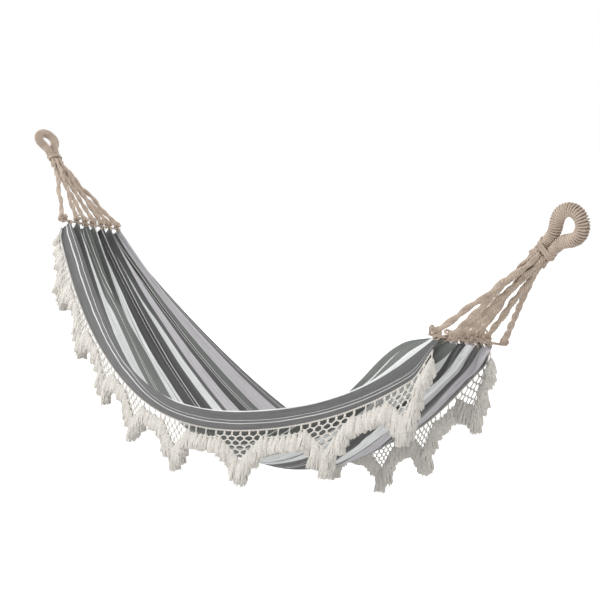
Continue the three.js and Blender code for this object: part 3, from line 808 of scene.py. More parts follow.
class FringeLine:
    """The heading's line along one edge, and how the fringe hangs under it."""

    def __init__(self, settings, side):
        points, _, _ = cloth_grid(settings)
        length = along_line(points.mean(1))
        inset = FRINGE_INSET / length[-1]
        shares = np.clip(length / length[-1], inset, 1 - inset)
        if side == "near":
            out = unit(points[:, 0] - points[:, 3])
            line = points[:, 0] + out * (HEADING_RADIUS + HEADING_GAP) * HEADING_SHARE
        else:
            line = points[:, -1] + FAR_HEADING_SHIFT
        keep = np.concatenate([[True], np.diff(shares) > 0])
        self.side, self.out = side, -1 if side == "near" else 1
        self.shares, self.line = shares[keep], line[keep]

    def at(self, share):
        return np.stack([np.interp(share, self.shares, self.line[:, i]) for i in range(3)], -1)

    def hang(self, share, drop):
        """A point of the fringe, drop below the heading's centre line."""
        share, drop = np.broadcast_arrays(np.asarray(share, float), np.asarray(drop, float))
        point = self.at(share)
        lean = lerp(MIDDLE_LEAN, lerp(*LEANS[self.side], share), (2 * share - 1) ** 2)
        outset = np.minimum(drop / OUTSET_DROP, 1) * FRINGE_OUTSET
        point[..., 1] += self.out * (outset + lean * drop)
        point[..., 2] -= drop
        return point


# The net: a wide gap's width next to a small one's, half turns of a knot, how unevenly the knots
# and the wide gaps hang, and how much lower a wide gap's cord is in its middle, in metres
WIDE_GAP, KNOT_TWIST, KNOT_SPREAD, GAP_SPREAD, GAP_SAG = 1.32, 1.3, 0.0011, 0.0012, 0.003
# Where a knot's two cords run and how thick they are, as shares of the cord's radius, how a cord
# bends on its way between two knots, and the least drop from knot to knot
KNOT_CORD_REACH, KNOT_CORD_GIRTH, CORD_BEND, NET_STEP = 0.8, 1.12, (-0.05, 1.05), 0.005
# How near to the scallop's tip a tassel counts, on the V's first row and on a wide gap's last post
FIRST_ROW, LAST_POST = 0.3, 0.12


def net_knots(strands, points, ways, settings):
    """The knots of the net: two cords twisted round each other for a short way."""
    t = np.linspace(-1, 1, 7)
    first = unit(np.cross(ways, [0.0, 1.0, 0.1]))
    second = np.cross(ways, first)
    for phase in (0, math.pi):
        lines = points[:, None] + ways[:, None] * t[:, None] * settings.knot / 2
        turn = around(first[:, None], second[:, None], phase + KNOT_TWIST * math.pi * t)
        lines = lines + turn * settings.cord * KNOT_CORD_REACH
        strands.add(lines, settings.cord * KNOT_CORD_GIRTH)


def make_net(strands, line, start, stop, settings, rng):
    """The net of one scallop, between wide gaps.

    Returns where its tassels hang, and how near each is to the tip.
    """
    length = (stop - start) * CLOTH_LENGTH
    wide = 2 if length > settings.long_scallop else 1, 1
    steps = np.array([WIDE_GAP] * wide[0] + [1.0] * NET_ROWS + [WIDE_GAP] * wide[1])
    places = start + (stop - start) * np.concatenate([[0], np.cumsum(steps)]) / steps.sum()
    net = places[wide[0]:-wide[1]]
    nodes = {(0, i): (share, 0.0) for i, share in enumerate(net)}
    for level in range(1, NET_ROWS + 2):
        for i in range(NET_ROWS + 2 - level):
            share = np.interp(i + (level - 1) / 2, np.arange(len(net)), net)
            shift = rng.normal(0, KNOT_SPREAD, 2)
            drop = lerp(NET_POST, NET_TIP, (level - 1) / NET_ROWS)
            nodes[level, i] = (share + shift[0] / CLOTH_LENGTH, drop + shift[1])
    pairs = [(nodes[level, i], nodes[level + 1, below]) for level, i in nodes
             for below in ((i,) if level == 0 else (i - 1, i)) if (level + 1, below) in nodes]
    seats = [(*nodes[level, i], lerp(FIRST_ROW, 1, (level - 2) / (NET_ROWS - 1)))
             for level in range(NET_ROWS + 1, 1, -1) for i in sorted({0, NET_ROWS + 1 - level})]
    for first, ends in ((0, places[:wide[0] + 1]), (1, places[:-wide[1] - 2:-1])):
        low = [(share, NET_VALLEY + rng.normal(0, GAP_SPREAD)) for share in ends]
        middles = [((a[0] + b[0]) / 2, NET_VALLEY + GAP_SAG) for a, b in zip(low, low[1:])]
        tops = [(share, 0.0) for share in ends[:-1]] + [nodes[1, NET_ROWS if first else 0]]
        hung = slice(1 if first and stop < line.shares[-1] else 0, None)
        pairs += [*zip(tops[hung], low[hung]), *zip(low, middles), *zip(middles, low[1:])]
        seats += [(*place, LAST_POST if place is low[-1] else 0.0)
                  for place in (*low[hung], *middles)]
    half = settings.knot / 2
    t = np.linspace(0, 1, 8)
    share = np.array([lerp(a[0], b[0], smooth_step(*CORD_BEND, t)) for a, b in pairs])
    drop = np.array([lerp(a[1] + (half if 0 < a[1] < b[1] else 0),
                          b[1] - (half if b[1] > a[1] + NET_STEP else 0), t) for a, b in pairs])
    strands.add(line.hang(share, drop), settings.cord)
    tied = np.array([place for (level, _), place in nodes.items() if level])
    centres = line.hang(tied[:, 0], tied[:, 1])
    ways = unit(centres - line.hang(tied[:, 0], tied[:, 1] - NET_STEP))
    net_knots(strands, centres, ways, settings)
    return seats


# The layers of a tassel from its skirt inwards: yarns, reach and thickness as shares
TASSEL_LAYERS = ((1.0, 1.0, 1.0), (0.4, 0.68, 1.7), (0.16, 0.3, 2.8))
# How long a tassel is at a scallop's tip, by the part's own tassel there
TIP_SHARE = 0.88
# How unevenly tassels and their yarns are made: lengths, flare and radii, as shares
TASSEL_CUT, YARN_CUT = (0.93, 1.04), (0.93, 1.01)
FLARE_SPREAD, YARN_GIRTHS = (0.9, 1.08), (0.88, 1.12)
# The flare of a tassel in a valley and at a tip, how askew it hangs, how slanted its foot is cut,
# how far it sways, and how far inside its tie its yarns start, in metres
FLARES, ASKEW, SLANT_CUT, TASSEL_SWAY, YARN_ROOT = (0.9, 1.16), 0.0045, 0.03, 0.0025, 0.004
# How unevenly its yarns stand round it, turn on their way down and curl, in radians, and spread
YARN_PLACE, YARN_TURN, YARN_CURL, YARN_SPREAD = 0.1, 0.16, 0.16, 0.06
# The binding round a tassel's head: where its turns sit, how far out, and their radius as a share
BINDING_TURNS, BINDING_START, BINDING_STEP = (0.3, 1.0, 1.7), 0.0045, 0.0032
BINDING_REACH, BINDING_GIRTH = 0.36, 0.9
RING_ANGLES = np.linspace(0, 2 * np.pi, 9)[:-1]


def skirt(t):
    """How wide a tassel is on the way from its tie to its foot, as a share of its flare."""
    return 0.2 + 0.82 * t ** 0.9 - 0.14 * t ** 5


def yarn_taper(t):
    """How thick a yarn is along its length: pressed at the tie, soft, and worn at its end."""
    return 0.62 + 0.5 * smooth_step(0.0, 0.35, t) - 0.4 * smooth_step(0.86, 1.0, t)


def make_tassel(strands, line, seat, settings, rng):
    """One tassel: a tied head that opens into a skirt of soft yarns with ragged ends."""
    share, drop, nearness = seat
    length = TASSEL_LENGTH * lerp(TASSEL_VALLEY_SHARE, TIP_SHARE, nearness)
    length = length * rng.uniform(*TASSEL_CUT)
    head = line.hang(share, drop)
    down = unit(line.hang(share, drop + 0.05) - head + rng.normal(0, ASKEW, 3))
    first = unit(np.cross(down, [0.3, 1.0, 0.0]))
    second = np.cross(down, first)
    flare = settings.flare * lerp(*FLARES, nearness) * rng.uniform(*FLARE_SPREAD)
    t = np.linspace(0, 1, 6)[None]
    sway = rng.uniform(0, 2 * np.pi, 2)
    for yarns, reach, thickness in TASSEL_LAYERS:
        count = int(settings.yarns * yarns)
        angle = 2 * np.pi * (np.arange(count) + rng.uniform(0, 1)) / count
        angle = angle + rng.normal(0, YARN_PLACE, count)
        lengths = rng.uniform(*YARN_CUT, count) + SLANT_CUT * np.sin(2 * angle + sway[1])
        spread = flare * reach * skirt(t) * (1 + rng.normal(0, YARN_SPREAD, (count, 1)) * t)
        bend = angle[:, None] + rng.normal(0, YARN_TURN, (count, 1)) * t
        bend = bend + YARN_CURL * np.sin(6 * t + rng.uniform(0, 6, (count, 1)))
        lines = head + down * (length * lengths[:, None] * t - YARN_ROOT)[..., None]
        lines = lines + around(first, second, bend) * spread[..., None]
        lines = lines + first * (TASSEL_SWAY * np.sin(4 * t + sway[0]) * t)[..., None]
        girths = rng.uniform(*YARN_GIRTHS, (count, 1))
        strands.add(lines, settings.yarn * thickness * yarn_taper(t) * girths, 5)
    for turn in BINDING_TURNS:
        centre = head + down * (BINDING_START + BINDING_STEP * turn)
        ring = centre + around(first, second, RING_ANGLES) * flare * BINDING_REACH
        strands.add(ring, settings.cord * BINDING_GIRTH, 5, closed=True)


# The heading: its laid core, and the crocheted loops round it
HEADING_CORE, HEADING_LAY, LOOP_PITCH, LOOP_RADIUS = 0.75, 0.016, 0.0105, 0.0009
HEADING_LOOP = np.stack([0.001 * np.sin(2 * RING_ANGLES), 0.0026 * np.cos(RING_ANGLES),
                         0.003 * np.sin(RING_ANGLES)], -1)


class HAMMOCK_OT_headings(bpy.types.Operator):
    """Make the crocheted cord along each long edge, which carries the fringe"""

    bl_idname = "hammock.make_headings"
    bl_label = "Fringe headings"

    def execute(self, context):
        material = fibre_material("heading cotton", context.scene.hammock_fringe, pitch=0.006)
        for side in SIDES:
            line = FringeLine(context.scene.hammock_cloth, side)
            strands = Strands()
            laid_cord(strands, line.line, HEADING_CORE * HEADING_RADIUS, HEADING_LAY,
                      laid=3, yarns=1, step=FINE_STEP)
            loops = int(line_length(line.line) / LOOP_PITCH)
            centres = line.at(np.linspace(line.shares[0], line.shares[-1], loops))
            strands.add(centres[:, None] + HEADING_LOOP, LOOP_RADIUS, 5, closed=True)
            piece = strands.piece(f"{side}_edge_cord", material)
            stand_for(piece, f"{side}_fringe_heading", "bed")
        return {"FINISHED"}


class HAMMOCK_OT_fringe(bpy.types.Operator):
    """Make the knotted net and the tassels of each scallop of the fringe"""

    bl_idname = "hammock.make_fringe"
    bl_label = "Fringe"

    def execute(self, context):
        fringe = context.scene.hammock_fringe
        material = fibre_material("fringe cotton", fringe, pitch=0.011, sheen=0.25)
        for side in SIDES:
            line = FringeLine(context.scene.hammock_cloth, side)
            shares = np.clip(SCALLOPS[side], line.shares[0], line.shares[-1])
            for index, (start, stop) in enumerate(zip(shares, shares[1:])):
                rng = np.random.default_rng(100 + index + 50 * (side == "far"))
                strands = Strands()
                for seat in make_net(strands, line, start, stop, fringe, rng):
                    make_tassel(strands, line, seat, fringe, rng)
                piece = strands.piece(f"{side}_scallop_{index + 1}", material)
                stand_for(piece, f"{side}_fringe_{index + 1}", "bed")
        return {"FINISHED"}


# The ends: draw cords, knots, clew cords, necks and eyes


class End:
    """Where the pieces of one end sit, as the part's source places them."""

    def __init__(self, name):
        at = ENDS.index(name)
        self.name, self.inward = name, 1 - 2 * at
        self.seat = np.array([SPAN * at, 0.0, 0.0])
        c, s = math.cos(EYE_TILT), math.sin(EYE_TILT)
        self.pull = np.array([self.inward * c, 0, -s])
        upright = np.array([self.inward * s, 0, c])
        turn = math.radians(EYE_TURNS[at])
        self.lift = upright * math.cos(turn) + np.cross(self.pull, upright) * math.sin(turn)
        self.face = np.cross(self.pull, self.lift)
        self.neck = self.seat + self.pull * SEAT_TO_NECK
        shares = np.array([0, 1 / ROWS]) if at == 0 else np.array([1, 1 - 1 / ROWS])
        rows = s_at(shares)
        columns = np.array(CREST_COLUMNS)
        self.crests = cloth_point(columns, np.full(PLEATS, rows[0]))
        inner = cloth_point(columns, np.full(PLEATS, rows[1]))
        along = unit(self.crests[-1] - self.crests[0])
        out = unit(self.crests - inner)
        self.outward = unit(out - along * (out @ along)[:, None])
        self.cord_points = self.crests + self.outward * (DRAW_CORD_RADIUS + DRAW_CORD_GAP)
        first, last = KNOT_REACHES[at]
        seats = self.cord_points.copy()
        self.first_way = unit(seats[0] - seats[1])
        self.last_way = unit(seats[-1] - seats[-2])
        seats[0] += self.first_way * first
        seats[-1] += self.last_way * last
        self.draw_line = np.concatenate([
            [self.cord_points[0] + self.first_way * (first + DRAW_CORD_OVERHANG)], self.cord_points,
            [self.cord_points[-1] + self.last_way * (last + DRAW_CORD_OVERHANG)]])
        self.knots = seats + self.outward * (DRAW_CORD_RADIUS + KNOT_GAP + KNOT_RADIUS)

    def cord_lines(self):
        """The centre line of each clew cord, run on into the neck and the knot."""
        middle = self.crests[PLEATS // 2]
        run = unit(np.array([middle[0], 0, middle[2]]) - self.neck)
        lift = np.cross(run, [0.0, 1.0, 0.0]) * self.inward
        pitch = 2 * CORD_NECK_RADIUS + CORD_NECK_GAP
        reach = NECK_RADIUS + SEAT_GAP
        for across, rise, knot in zip(ACROSS_SHARES, LIFT_SHARES, self.knots):
            side = np.array([0.0, 1.0, 0.0]) * across * pitch + lift * rise * pitch
            inner = max(np.linalg.norm(side) - CORD_NECK_RADIUS, 0)
            start = self.neck + side + run * math.sqrt(reach ** 2 - inner ** 2)
            leave = start + run * CORD_RUN_OUT
            arrive = knot + unit(leave - knot) * CORD_RUN_IN
            finish = knot + unit(arrive - knot) * (KNOT_RADIUS + SEAT_GAP)
            root = self.neck + side * ROOT_SHARE + run * 0.001
            yield np.concatenate([[root], bezier(start, leave, arrive, finish, 60),
                                  [lerp(finish, knot, KNOT_DEPTH)]])

    def eye_line(self, count):
        """The eye's centre line, up one leg, over the top and down the other, and its girth."""
        winding = (EYE_CORE + SEAT_GAP + WHIPPING_RADIUS) / math.cos(math.pi / WHIPPING_STEPS)
        radius, top = EYE_HOLE + winding + WHIPPING_RADIUS, SEAT_TO_NECK - EYE_HOLE
        angle = np.radians(np.linspace(EYE_OPEN_DEGREES, 0, 60))
        arc = np.stack([top + radius * np.cos(angle), radius * np.sin(angle)], -1)
        way = np.array([math.sin(angle[0]), -math.cos(angle[0])])
        meet = np.array(LEG_MEET)
        leg = bezier(meet, meet + LEG_WAY, arc[0] - way * ARC_REACH, arc[0], 30)
        half = np.concatenate([[LEG_START], leg[:-1], arc])
        whole = np.concatenate([half, (half * [1, -1])[-2::-1]])
        flat = resample(np.pad(whole, ((0, 0), (0, 1))), count)
        girth = winding * lerp(THROAT_GIRTH, 1, smooth_step(*GIRTH_RUN, flat[:, 0]))
        return self.spot(flat[:, 0], flat[:, 1], flat[:, 2]), girth

    def spot(self, up, aside, out):
        """A point of the eye: up from the neck, aside in the eye's own plane, and out of it."""
        up, aside, out = (np.asarray(v, float)[..., None] for v in (up, aside, out))
        return self.neck - self.pull * up + self.lift * aside + self.face * out


def trefoil(centre, axis, size):
    """A small overhand knot's centre line."""
    t = np.linspace(0, 2 * np.pi, 64, endpoint=False)
    x = np.sin(t) + 2 * np.sin(2 * t)
    y = np.cos(t) - 2 * np.cos(2 * t)
    first = unit(np.cross(axis, [0.2, 1.0, 0.3]))
    second = np.cross(axis, first)
    flat = centre + (first * x[:, None] + second * y[:, None]) * size / 3
    return flat + axis * -np.sin(3 * t)[:, None] * size * KNOT_THICKNESS


def rope_material(context, name):
    return fibre_material(name, context.scene.hammock_rope, pitch=0.012)


# A clew cord: how far it wanders, how unevenly it is laid, and how its girth grows from the neck
CORD_SWAY, LAY_SPREAD, NECK_GIRTH, GIRTH_WAVE = 0.0024, (0.85, 1.2), 0.84, 0.05


class HAMMOCK_OT_clew_cords(bpy.types.Operator):
    """Make the seven laid cords of each end, from the neck to the knots"""

    bl_idname = "hammock.make_clew_cords"
    bl_label = "Clew cords"

    def execute(self, context):
        rope = context.scene.hammock_rope
        material = rope_material(context, "clew cord fibre")
        share = np.linspace(0, 1, 90)
        for end in map(End, ENDS):
            for index, line in enumerate(end.cord_lines(), 1):
                rng = np.random.default_rng(300 + index + 20 * (end.inward < 0))
                phase = rng.uniform(0, 2 * np.pi, 3)
                sway = np.sin(np.pi * share)[:, None] * CORD_SWAY
                sway = sway * np.sin(5.3 * np.pi * share[:, None] + phase)
                strands = Strands()
                pitch = rope.pitch * rng.uniform(*LAY_SPREAD)
                girth = lerp(NECK_GIRTH, 1, smooth_step(0, 0.3, share))
                girth = girth + GIRTH_WAVE * np.sin(11 * share + phase[0])
                path = resample(line, len(share)) + sway
                laid_cord(strands, path, rope.radius, pitch, yarns=5, girth=girth)
                piece = strands.piece(f"{end.name}_clew_cord_{index}", material)
                stand_for(piece, f"{end.name}_cord_{index}", "bed")
        return {"FINISHED"}


# The knots: size and cord radius of the thick first one at the head and of the others, and how
# far their axes tilt
FIRST_KNOT, OTHER_KNOTS, KNOT_TILT = (0.0150, 0.0076), (0.0115, 0.0064), 0.25
# Loose loops at each knot, and their cord: radius and lay
BIGHTS, THIN_CORD, COIL_CORD = {"head": 1, "foot": 4}, (0.0036, 0.02), (0.0037, 0.02)
# A knot's depth by its size, and how much its loops and yarns lean back to the cord
KNOT_THICKNESS, LEAN_BACK = 0.55, 0.4
# The coil of spare draw cord: turns, its radius at the start, how that grows, and its unevenness
COIL_TURNS, COIL_START, COIL_GROWTH, COIL_WAVE = 3.2, 0.0045, 0.008, 0.003
# Half a loose loop's length and width, and how far it bends out of its own plane
BIGHT_LENGTH, BIGHT_WIDTH, BIGHT_BEND = 0.012, 0.0075, 0.003
# Loose yarns at each knot, their length and radius, how much thinner they end and how they droop
TAIL_YARNS, TAIL_LENGTH, TAIL_RADIUS, TAIL_TAPER, TAIL_DROOP = 7, 0.018, 0.0012, 0.6, 0.012
# How unevenly they point and spread, and their lengths as shares
TAIL_WAY, TAIL_SPREAD, TAIL_CUT = 0.8, 0.5, (0.7, 1.1)


class HAMMOCK_OT_knots(bpy.types.Operator):
    """Make the knots that join the clew cords to the draw cord, with their frayed ends"""

    bl_idname = "hammock.make_knots"
    bl_label = "Knots"

    def execute(self, context):
        material = rope_material(context, "knot fibre")
        for end in map(End, ENDS):
            for index, (knot, out) in enumerate(zip(end.knots, end.outward)):
                rng = np.random.default_rng(500 + index + 20 * (end.inward < 0))
                strands = Strands()
                if end.name == "foot" and index == PLEATS - 1:
                    self.coil(strands, knot, out)
                else:
                    size, cord = FIRST_KNOT if end.name == "head" and index == 0 else OTHER_KNOTS
                    axis = unit(out + rng.normal(0, KNOT_TILT, 3))
                    laid_cord(strands, trefoil(knot, axis, size), cord, pitch=0.04, yarns=3,
                              step=FINE_STEP, closed=True)
                    self.bights(strands, knot, out, rng, BIGHTS[end.name])
                    self.tail(strands, knot, out, rng)
                piece = strands.piece(f"{end.name}_tied_knot_{index + 1}", material)
                stand_for(piece, f"{end.name}_knot_{index + 1}", "bed")
        return {"FINISHED"}

    def coil(self, strands, knot, out):
        """The spare end of the draw cord, wound into a small round coil."""
        first = unit(np.cross(out, [0.0, 1.0, 0.0]))
        second = unit(np.cross(first, [0.3, -0.5, 0.1]))
        t = np.linspace(0, 1, 120)
        radius = COIL_START + COIL_GROWTH * t
        line = knot + around(first, out, 2 * np.pi * COIL_TURNS * t) * radius[:, None]
        line = line + second * (COIL_WAVE * np.sin(9 * t))[:, None]
        laid_cord(strands, line, *COIL_CORD, yarns=3, step=FINE_STEP)

    def bights(self, strands, knot, out, rng, count):
        """Loose loops of thinner cord, pulled out of the knot."""
        t = np.linspace(0, 2 * np.pi, 28, endpoint=False)[:, None]
        for _ in range(count):
            way = unit(rng.normal(0, 1, 3) - LEAN_BACK * out)
            square = unit(np.cross(way, rng.normal(0, 1, 3)))
            loop = knot + way * (BIGHT_LENGTH - BIGHT_LENGTH * np.cos(t))
            loop = loop + square * BIGHT_WIDTH * np.sin(t)
            loop = loop + np.cross(way, square) * BIGHT_BEND * np.sin(2 * t)
            laid_cord(strands, loop, *THIN_CORD, yarns=1, step=FINE_STEP, closed=True)

    def tail(self, strands, knot, out, rng):
        """Loose yarns that stick out of the knot."""
        way = unit(-out * LEAN_BACK + rng.normal(0, TAIL_WAY, 3))
        t = np.linspace(0, 1, 7)[None, :, None]
        spread = rng.normal(0, TAIL_SPREAD, (TAIL_YARNS, 1, 3))
        droop = np.array([0.0, 0.0, -TAIL_DROOP]) * t ** 2
        reach = TAIL_LENGTH * t * rng.uniform(*TAIL_CUT, (TAIL_YARNS, 1, 1))
        lines = knot + (way + spread * t) * reach + droop
        strands.add(lines, TAIL_RADIUS * (1 - TAIL_TAPER * t[..., 0]), 5)


# The thin cord lashed round each pleat: turns, half its width, how far it reaches out and aside,
# its radius, and how far its middle is on the pleat's side of the draw cord
LASH_TURNS, LASH_HALF_WIDTH, LASH_REACH = 3, 0.005, (0.0100, 0.0070)
LASH_RADIUS, LASH_SHIFT = 0.0014, 0.005


class HAMMOCK_OT_draw_cords(bpy.types.Operator):
    """Make the draw cord across each gathered end, lashed round every pleat"""

    bl_idname = "hammock.make_draw_cords"
    bl_label = "Draw cords"

    def execute(self, context):
        material = rope_material(context, "draw cord fibre")
        for end in map(End, ENDS):
            strands = Strands()
            line = resample(end.draw_line, 200)
            laid_cord(strands, line, DRAW_CORD_RADIUS, pitch=0.022, laid=3, yarns=1,
                      step=FINE_STEP)
            for seat, out in zip(end.cord_points, end.outward):
                self.lash(strands, seat, out, end.last_way)
            piece = strands.piece(f"{end.name}_gathering_cord", material)
            stand_for(piece, f"{end.name}_draw_cord", "bed")
        return {"FINISHED"}

    def lash(self, strands, seat, out, along):
        """Turns of thin cord round the draw cord and the pleat's tip."""
        square = unit(np.cross(out, along))
        angle = np.linspace(0, 2 * np.pi * LASH_TURNS, 60)
        shift = np.linspace(-LASH_HALF_WIDTH, LASH_HALF_WIDTH, 60)[:, None]
        line = seat - out * LASH_SHIFT + along * shift
        strands.add(line + around(out * LASH_REACH[0], square * LASH_REACH[1], angle), LASH_RADIUS)


# The throat of an eye by how far up from the neck: where its strands run, how far aside of the
# middle, and how far they spread aside and out
THROAT_UP = (0.036, THROAT, -0.004, -0.028)
THROAT_ASIDE = np.array([0.0146, 0.0122, 0.0118, 0.0125])
THROAT_WIDE = np.array([0.0070, 0.0075, 0.0092, 0.0120])
THROAT_DEEP = np.array([0.0070, 0.0075, 0.0105, 0.0140])
THROAT_STRANDS, THIN_ROPE_RADIUS = 5, 0.0056
# The binding's turns: how many, from and to how far up, their slant and their size as a share
BINDINGS = ((4, 0.006, 0.0205, 0, 1.0), (1, 0.013, 0.0145, 0.009, 1.08))
BINDING_SIZE, BINDING_RADIUS = (0.0268, 0.0170), 0.0023
# How square its turns are, the way aside and the way out: 1 is round
BINDING_POWERS = (0.85, 0.8)


class HAMMOCK_OT_necks(bpy.types.Operator):
    """Make the throat of each eye: strands that run down among the cords, under a short binding"""

    bl_idname = "hammock.make_necks"
    bl_label = "Neck bindings"

    def execute(self, context):
        material = rope_material(context, "binding fibre")
        for end in map(End, ENDS):
            strands = Strands()
            for leg in (-1, 1):
                for angle in 2 * np.pi * (np.arange(THROAT_STRANDS) + 0.5) / THROAT_STRANDS:
                    aside = leg * THROAT_ASIDE + math.cos(angle) * THROAT_WIDE
                    line = bezier(*end.spot(THROAT_UP, aside, math.sin(angle) * THROAT_DEEP), 24)
                    laid_cord(strands, line, THIN_ROPE_RADIUS, pitch=0.05, yarns=3)
            self.bind(strands, end)
            piece = strands.piece(f"{end.name}_seizing", material)
            stand_for(piece, f"{end.name}_neck_binding", f"{end.name}_eye")
        return {"FINISHED"}

    def bind(self, strands, end):
        """Four turns of thin cord round both legs, and one turn aslant over them."""
        for turns, low, high, slant, grow in BINDINGS:
            t = np.linspace(0, 1, turns * 32)
            c, s = np.cos(2 * np.pi * turns * t), np.sin(2 * np.pi * turns * t)
            aside, out = (size * grow * np.sign(way) * np.abs(way) ** power
                          for size, way, power in zip(BINDING_SIZE, (c, s), BINDING_POWERS))
            strands.add(end.spot(lerp(low, high, t) + slant * c, aside, out), BINDING_RADIUS, 8)


# The bundle inside an eye: its strands, their turns, and how far out they run by its radius
BUNDLE_STRANDS, BUNDLE_TURNS, BUNDLE_SHARE = 6, 3, 0.5
# The share of the eye's line that is wound over, how far the winding is pressed in, and how far
# and how slowly it wanders
WOUND, PRESSED, WANDER = (0.036, 0.964), 0.0004, (0.0003, 0.37)


class HAMMOCK_OT_eyes(bpy.types.Operator):
    """Make the two hanging eyes: a bundle of cords bent into a ring and whipped over"""

    bl_idname = "hammock.make_eyes"
    bl_label = "Eyes"

    def execute(self, context):
        rope = context.scene.hammock_rope
        fibre, whipping = (rope_material(context, f"{name} fibre") for name in ("eye", "whipping"))
        for end in map(End, ENDS):
            line, girth = end.eye_line(240)
            strands = Strands()
            phases = np.arange(BUNDLE_STRANDS) / BUNDLE_STRANDS
            for path in wind(line, girth * BUNDLE_SHARE, BUNDLE_TURNS, phases):
                laid_cord(strands, path, THIN_ROPE_RADIUS, pitch=0.03, yarns=1, step=0.004,
                          girth=girth / girth.max())
            strands.add(line[None], girth * BUNDLE_SHARE, 12)
            core = strands.piece(f"{end.name}_eye_bundle", fibre)
            stand_for(core, f"{end.name}_eye_core", f"{end.name}_eye")
            strands = Strands()
            strands.add(self.winding(rope.turns, line, girth), rope.whipping, 8)
            cover = strands.piece(f"{end.name}_eye_winding", whipping)
            stand_for(cover, f"{end.name}_eye_whipping", f"{end.name}_eye")
        return {"FINISHED"}

    def winding(self, turns, line, girth):
        """One cord wound round the whole eye, from the foot of one leg to the foot of the other."""
        count = turns * 16
        keep = np.linspace(*WOUND, count)
        shares = np.linspace(0, 1, len(line))
        path = np.stack([np.interp(keep, shares, line[:, i]) for i in range(3)], -1)
        first, second = (f[0] for f in frames_along(path[None]))
        angle = 2 * np.pi * turns * np.linspace(0, 1, count)
        reach = np.interp(keep, shares, girth) - PRESSED + WANDER[0] * np.sin(angle * WANDER[1])
        return path + around(first, second, angle) * reach[:, None]


# The stage

# The camera: its azimuth and elevation in degrees, its distance, what it looks at, and its lens
CAMERA_ANGLES, CAMERA_DISTANCE = (49.55, 14.27), 3.323
CAMERA_TARGET, CAMERA_LENS = (1.645, 0.0, -0.387), 63.6
# The lamps: where each is, its size and its share of the key light's power
LAMPS = {
    "key light": ((2.0, -1.6, 4.2), 3.2, 1.0),
    "fill light": ((-1.8, -3.0, 1.0), 3.0, 0.85),
    "low light": ((4.6, -2.2, -0.6), 1.6, 0.2),
    "back light": ((1.0, 4.2, 1.4), 3.0, 0.45),
}
LAMP_TARGET = Vector((SPAN / 2, 0, -0.7))
FLOOR_HALF = 30
WHITE = (1.0, 1.0, 1.0, 1.0)


def place_in_scene(scene, name, data, place, look):
    """Links a camera or lamp that stands at a place and looks along a way."""
    thing = bpy.data.objects.new(name, data)
    scene.collection.objects.link(thing)
    thing.location = place
    thing.rotation_euler = look.to_track_quat("-Z", "Y").to_euler()
    return thing


class HAMMOCK_OT_camera(bpy.types.Operator):
    """Place the camera at the photograph's viewing angle"""

    bl_idname = "hammock.make_camera"
    bl_label = "Camera"

    def execute(self, context):
        azimuth, elevation = map(math.radians, CAMERA_ANGLES)
        level = math.cos(elevation)
        back = Vector((math.sin(azimuth) * level, -math.cos(azimuth) * level, math.sin(elevation)))
        data = bpy.data.cameras.new("photo camera")
        data.lens, data.sensor_width = CAMERA_LENS, 36.0
        data.clip_start, data.clip_end = 0.05, 100.0
        place = Vector(CAMERA_TARGET) + back * CAMERA_DISTANCE
        context.scene.camera = place_in_scene(context.scene, "photo camera", data, place, -back)
        return {"FINISHED"}


class HAMMOCK_OT_stage(bpy.types.Operator):
    """Make the pale floor and the soft light"""

    bl_idname = "hammock.make_stage"
    bl_label = "Floor and light"

    def execute(self, context):
        scene, settings = context.scene, context.scene.hammock_stage
        square = np.array([[0, 0], [1, 0], [1, 1], [0, 1]], float)
        corners = np.pad(2 * square - 1, ((0, 0), (0, 1))) * FLOOR_HALF
        floor = make_piece("floor", corners + [SPAN / 2, 0, -settings.floor_drop], [[0, 1, 2, 3]],
                           square, floor_finish(settings))
        self.world(scene, settings.world)
        for name, (place, size, share) in LAMPS.items():
            data = bpy.data.lights.new(name, "AREA")
            data.shape, data.size, data.energy = "DISK", size, settings.key * share
            place_in_scene(scene, name, data, place, LAMP_TARGET - Vector(place))
        scene.view_settings.view_transform = "Standard"
        return {"FINISHED"}

    def world(self, scene, strength):
        """Even light from all sides, seen as white."""
        scene.world = bpy.data.worlds.new("studio")
        scene.world.use_nodes = True
        tree = scene.world.node_tree
        light, white = tree.nodes["Background"], tree.nodes.new("ShaderNodeBackground")
        for background, power in ((light, strength), (white, 1.0)):
            background.inputs[0].default_value = WHITE
            background.inputs[1].default_value = power
        mix = tree.nodes.new("ShaderNodeMixShader")
        sources = (seen_directly(tree), light.outputs[0], white.outputs[0])
        for socket, source in zip(mix.inputs, sources):
            tree.links.new(source, socket)
        tree.links.new(mix.outputs[0], tree.nodes["World Output"].inputs[0])


def seen_directly(tree):
    """1 for a ray that looks, in a gloss or through glass too, and 0 for one that gives light."""
    path = tree.nodes.new("ShaderNodeLightPath")
    seen = path.outputs["Is Camera Ray"]
    for name in ("Is Glossy Ray", "Is Transmission Ray"):
        either = tree.nodes.new("ShaderNodeMath")
        either.operation = "MAXIMUM"
        tree.links.new(seen, either.inputs[0])
        tree.links.new(path.outputs[name], either.inputs[1])
        seen = either.outputs[0]
    return seen


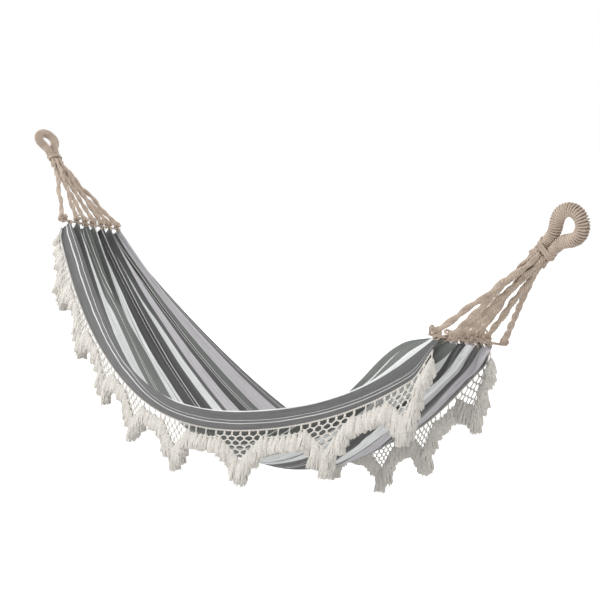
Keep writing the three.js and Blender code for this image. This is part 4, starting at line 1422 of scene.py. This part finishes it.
def whiten(material, lift):
    """Lifts the floor to white where it is looked at, and keeps its shadow."""
    tree = material.node_tree
    glow = tree.nodes.new("ShaderNodeEmission")
    both = tree.nodes.new("ShaderNodeAddShader")
    strength = tree.nodes.new("ShaderNodeMath")
    strength.operation = "MULTIPLY"
    strength.inputs[1].default_value = lift
    tree.links.new(seen_directly(tree), strength.inputs[0])
    tree.links.new(strength.outputs[0], glow.inputs[1])
    tree.links.new(tree.nodes["Principled BSDF"].outputs[0], both.inputs[0])
    tree.links.new(glow.outputs[0], both.inputs[1])
    tree.links.new(both.outputs[0], tree.nodes["Material Output"].inputs[0])


class HAMMOCK_OT_declare(bpy.types.Operator):
    bl_idname = "hammock.declare_cloth"
    bl_label = "Declare the cloth"

    def execute(self, context):
        trims = [f"{side}_edge_cord" for side in SIDES]
        trims += [f"{side}_scallop_{i}" for side in SIDES for i in range(1, len(SCALLOPS[side]))]
        return {"FINISHED"}


OPERATORS = (
    HAMMOCK_OT_camera, HAMMOCK_OT_cloth, HAMMOCK_OT_headings, HAMMOCK_OT_fringe,
    HAMMOCK_OT_clew_cords, HAMMOCK_OT_knots, HAMMOCK_OT_draw_cords, HAMMOCK_OT_necks,
    HAMMOCK_OT_eyes, HAMMOCK_OT_stage, HAMMOCK_OT_declare,
)
SETTINGS = (HammockClothSettings, HammockFringeSettings, HammockRopeSettings, HammockStageSettings)
SETTING_NAMES = ("hammock_cloth", "hammock_fringe", "hammock_rope", "hammock_stage")


class HAMMOCK_PT_panel(bpy.types.Panel):
    """Lists the hammock's settings and the buttons that make its pieces"""

    bl_idname = "HAMMOCK_PT_panel"
    bl_label = "Hammock"
    bl_space_type = "VIEW_3D"
    bl_region_type = "UI"
    bl_category = "Hammock"

    def draw(self, context):
        for name in SETTING_NAMES:
            group = getattr(context.scene, name)
            box = self.layout.box()
            for key in group.__annotations__:
                box.prop(group, key)
        for operator in OPERATORS:
            self.layout.operator(operator.bl_idname)


def register():
    for made in (*SETTINGS, *OPERATORS, HAMMOCK_PT_panel):
        bpy.utils.register_class(made)
    for name, group in zip(SETTING_NAMES, SETTINGS):
        setattr(bpy.types.Scene, name, PointerProperty(type=group))


def unregister():
    for name in SETTING_NAMES:
        delattr(bpy.types.Scene, name)
    for made in reversed((*SETTINGS, *OPERATORS, HAMMOCK_PT_panel)):
        bpy.utils.unregister_class(made)


def main():
    register()
    for operator in OPERATORS:
        group, name = operator.bl_idname.split(".")
        getattr(getattr(bpy.ops, group), name)()


if __name__ == "__main__":
    main()
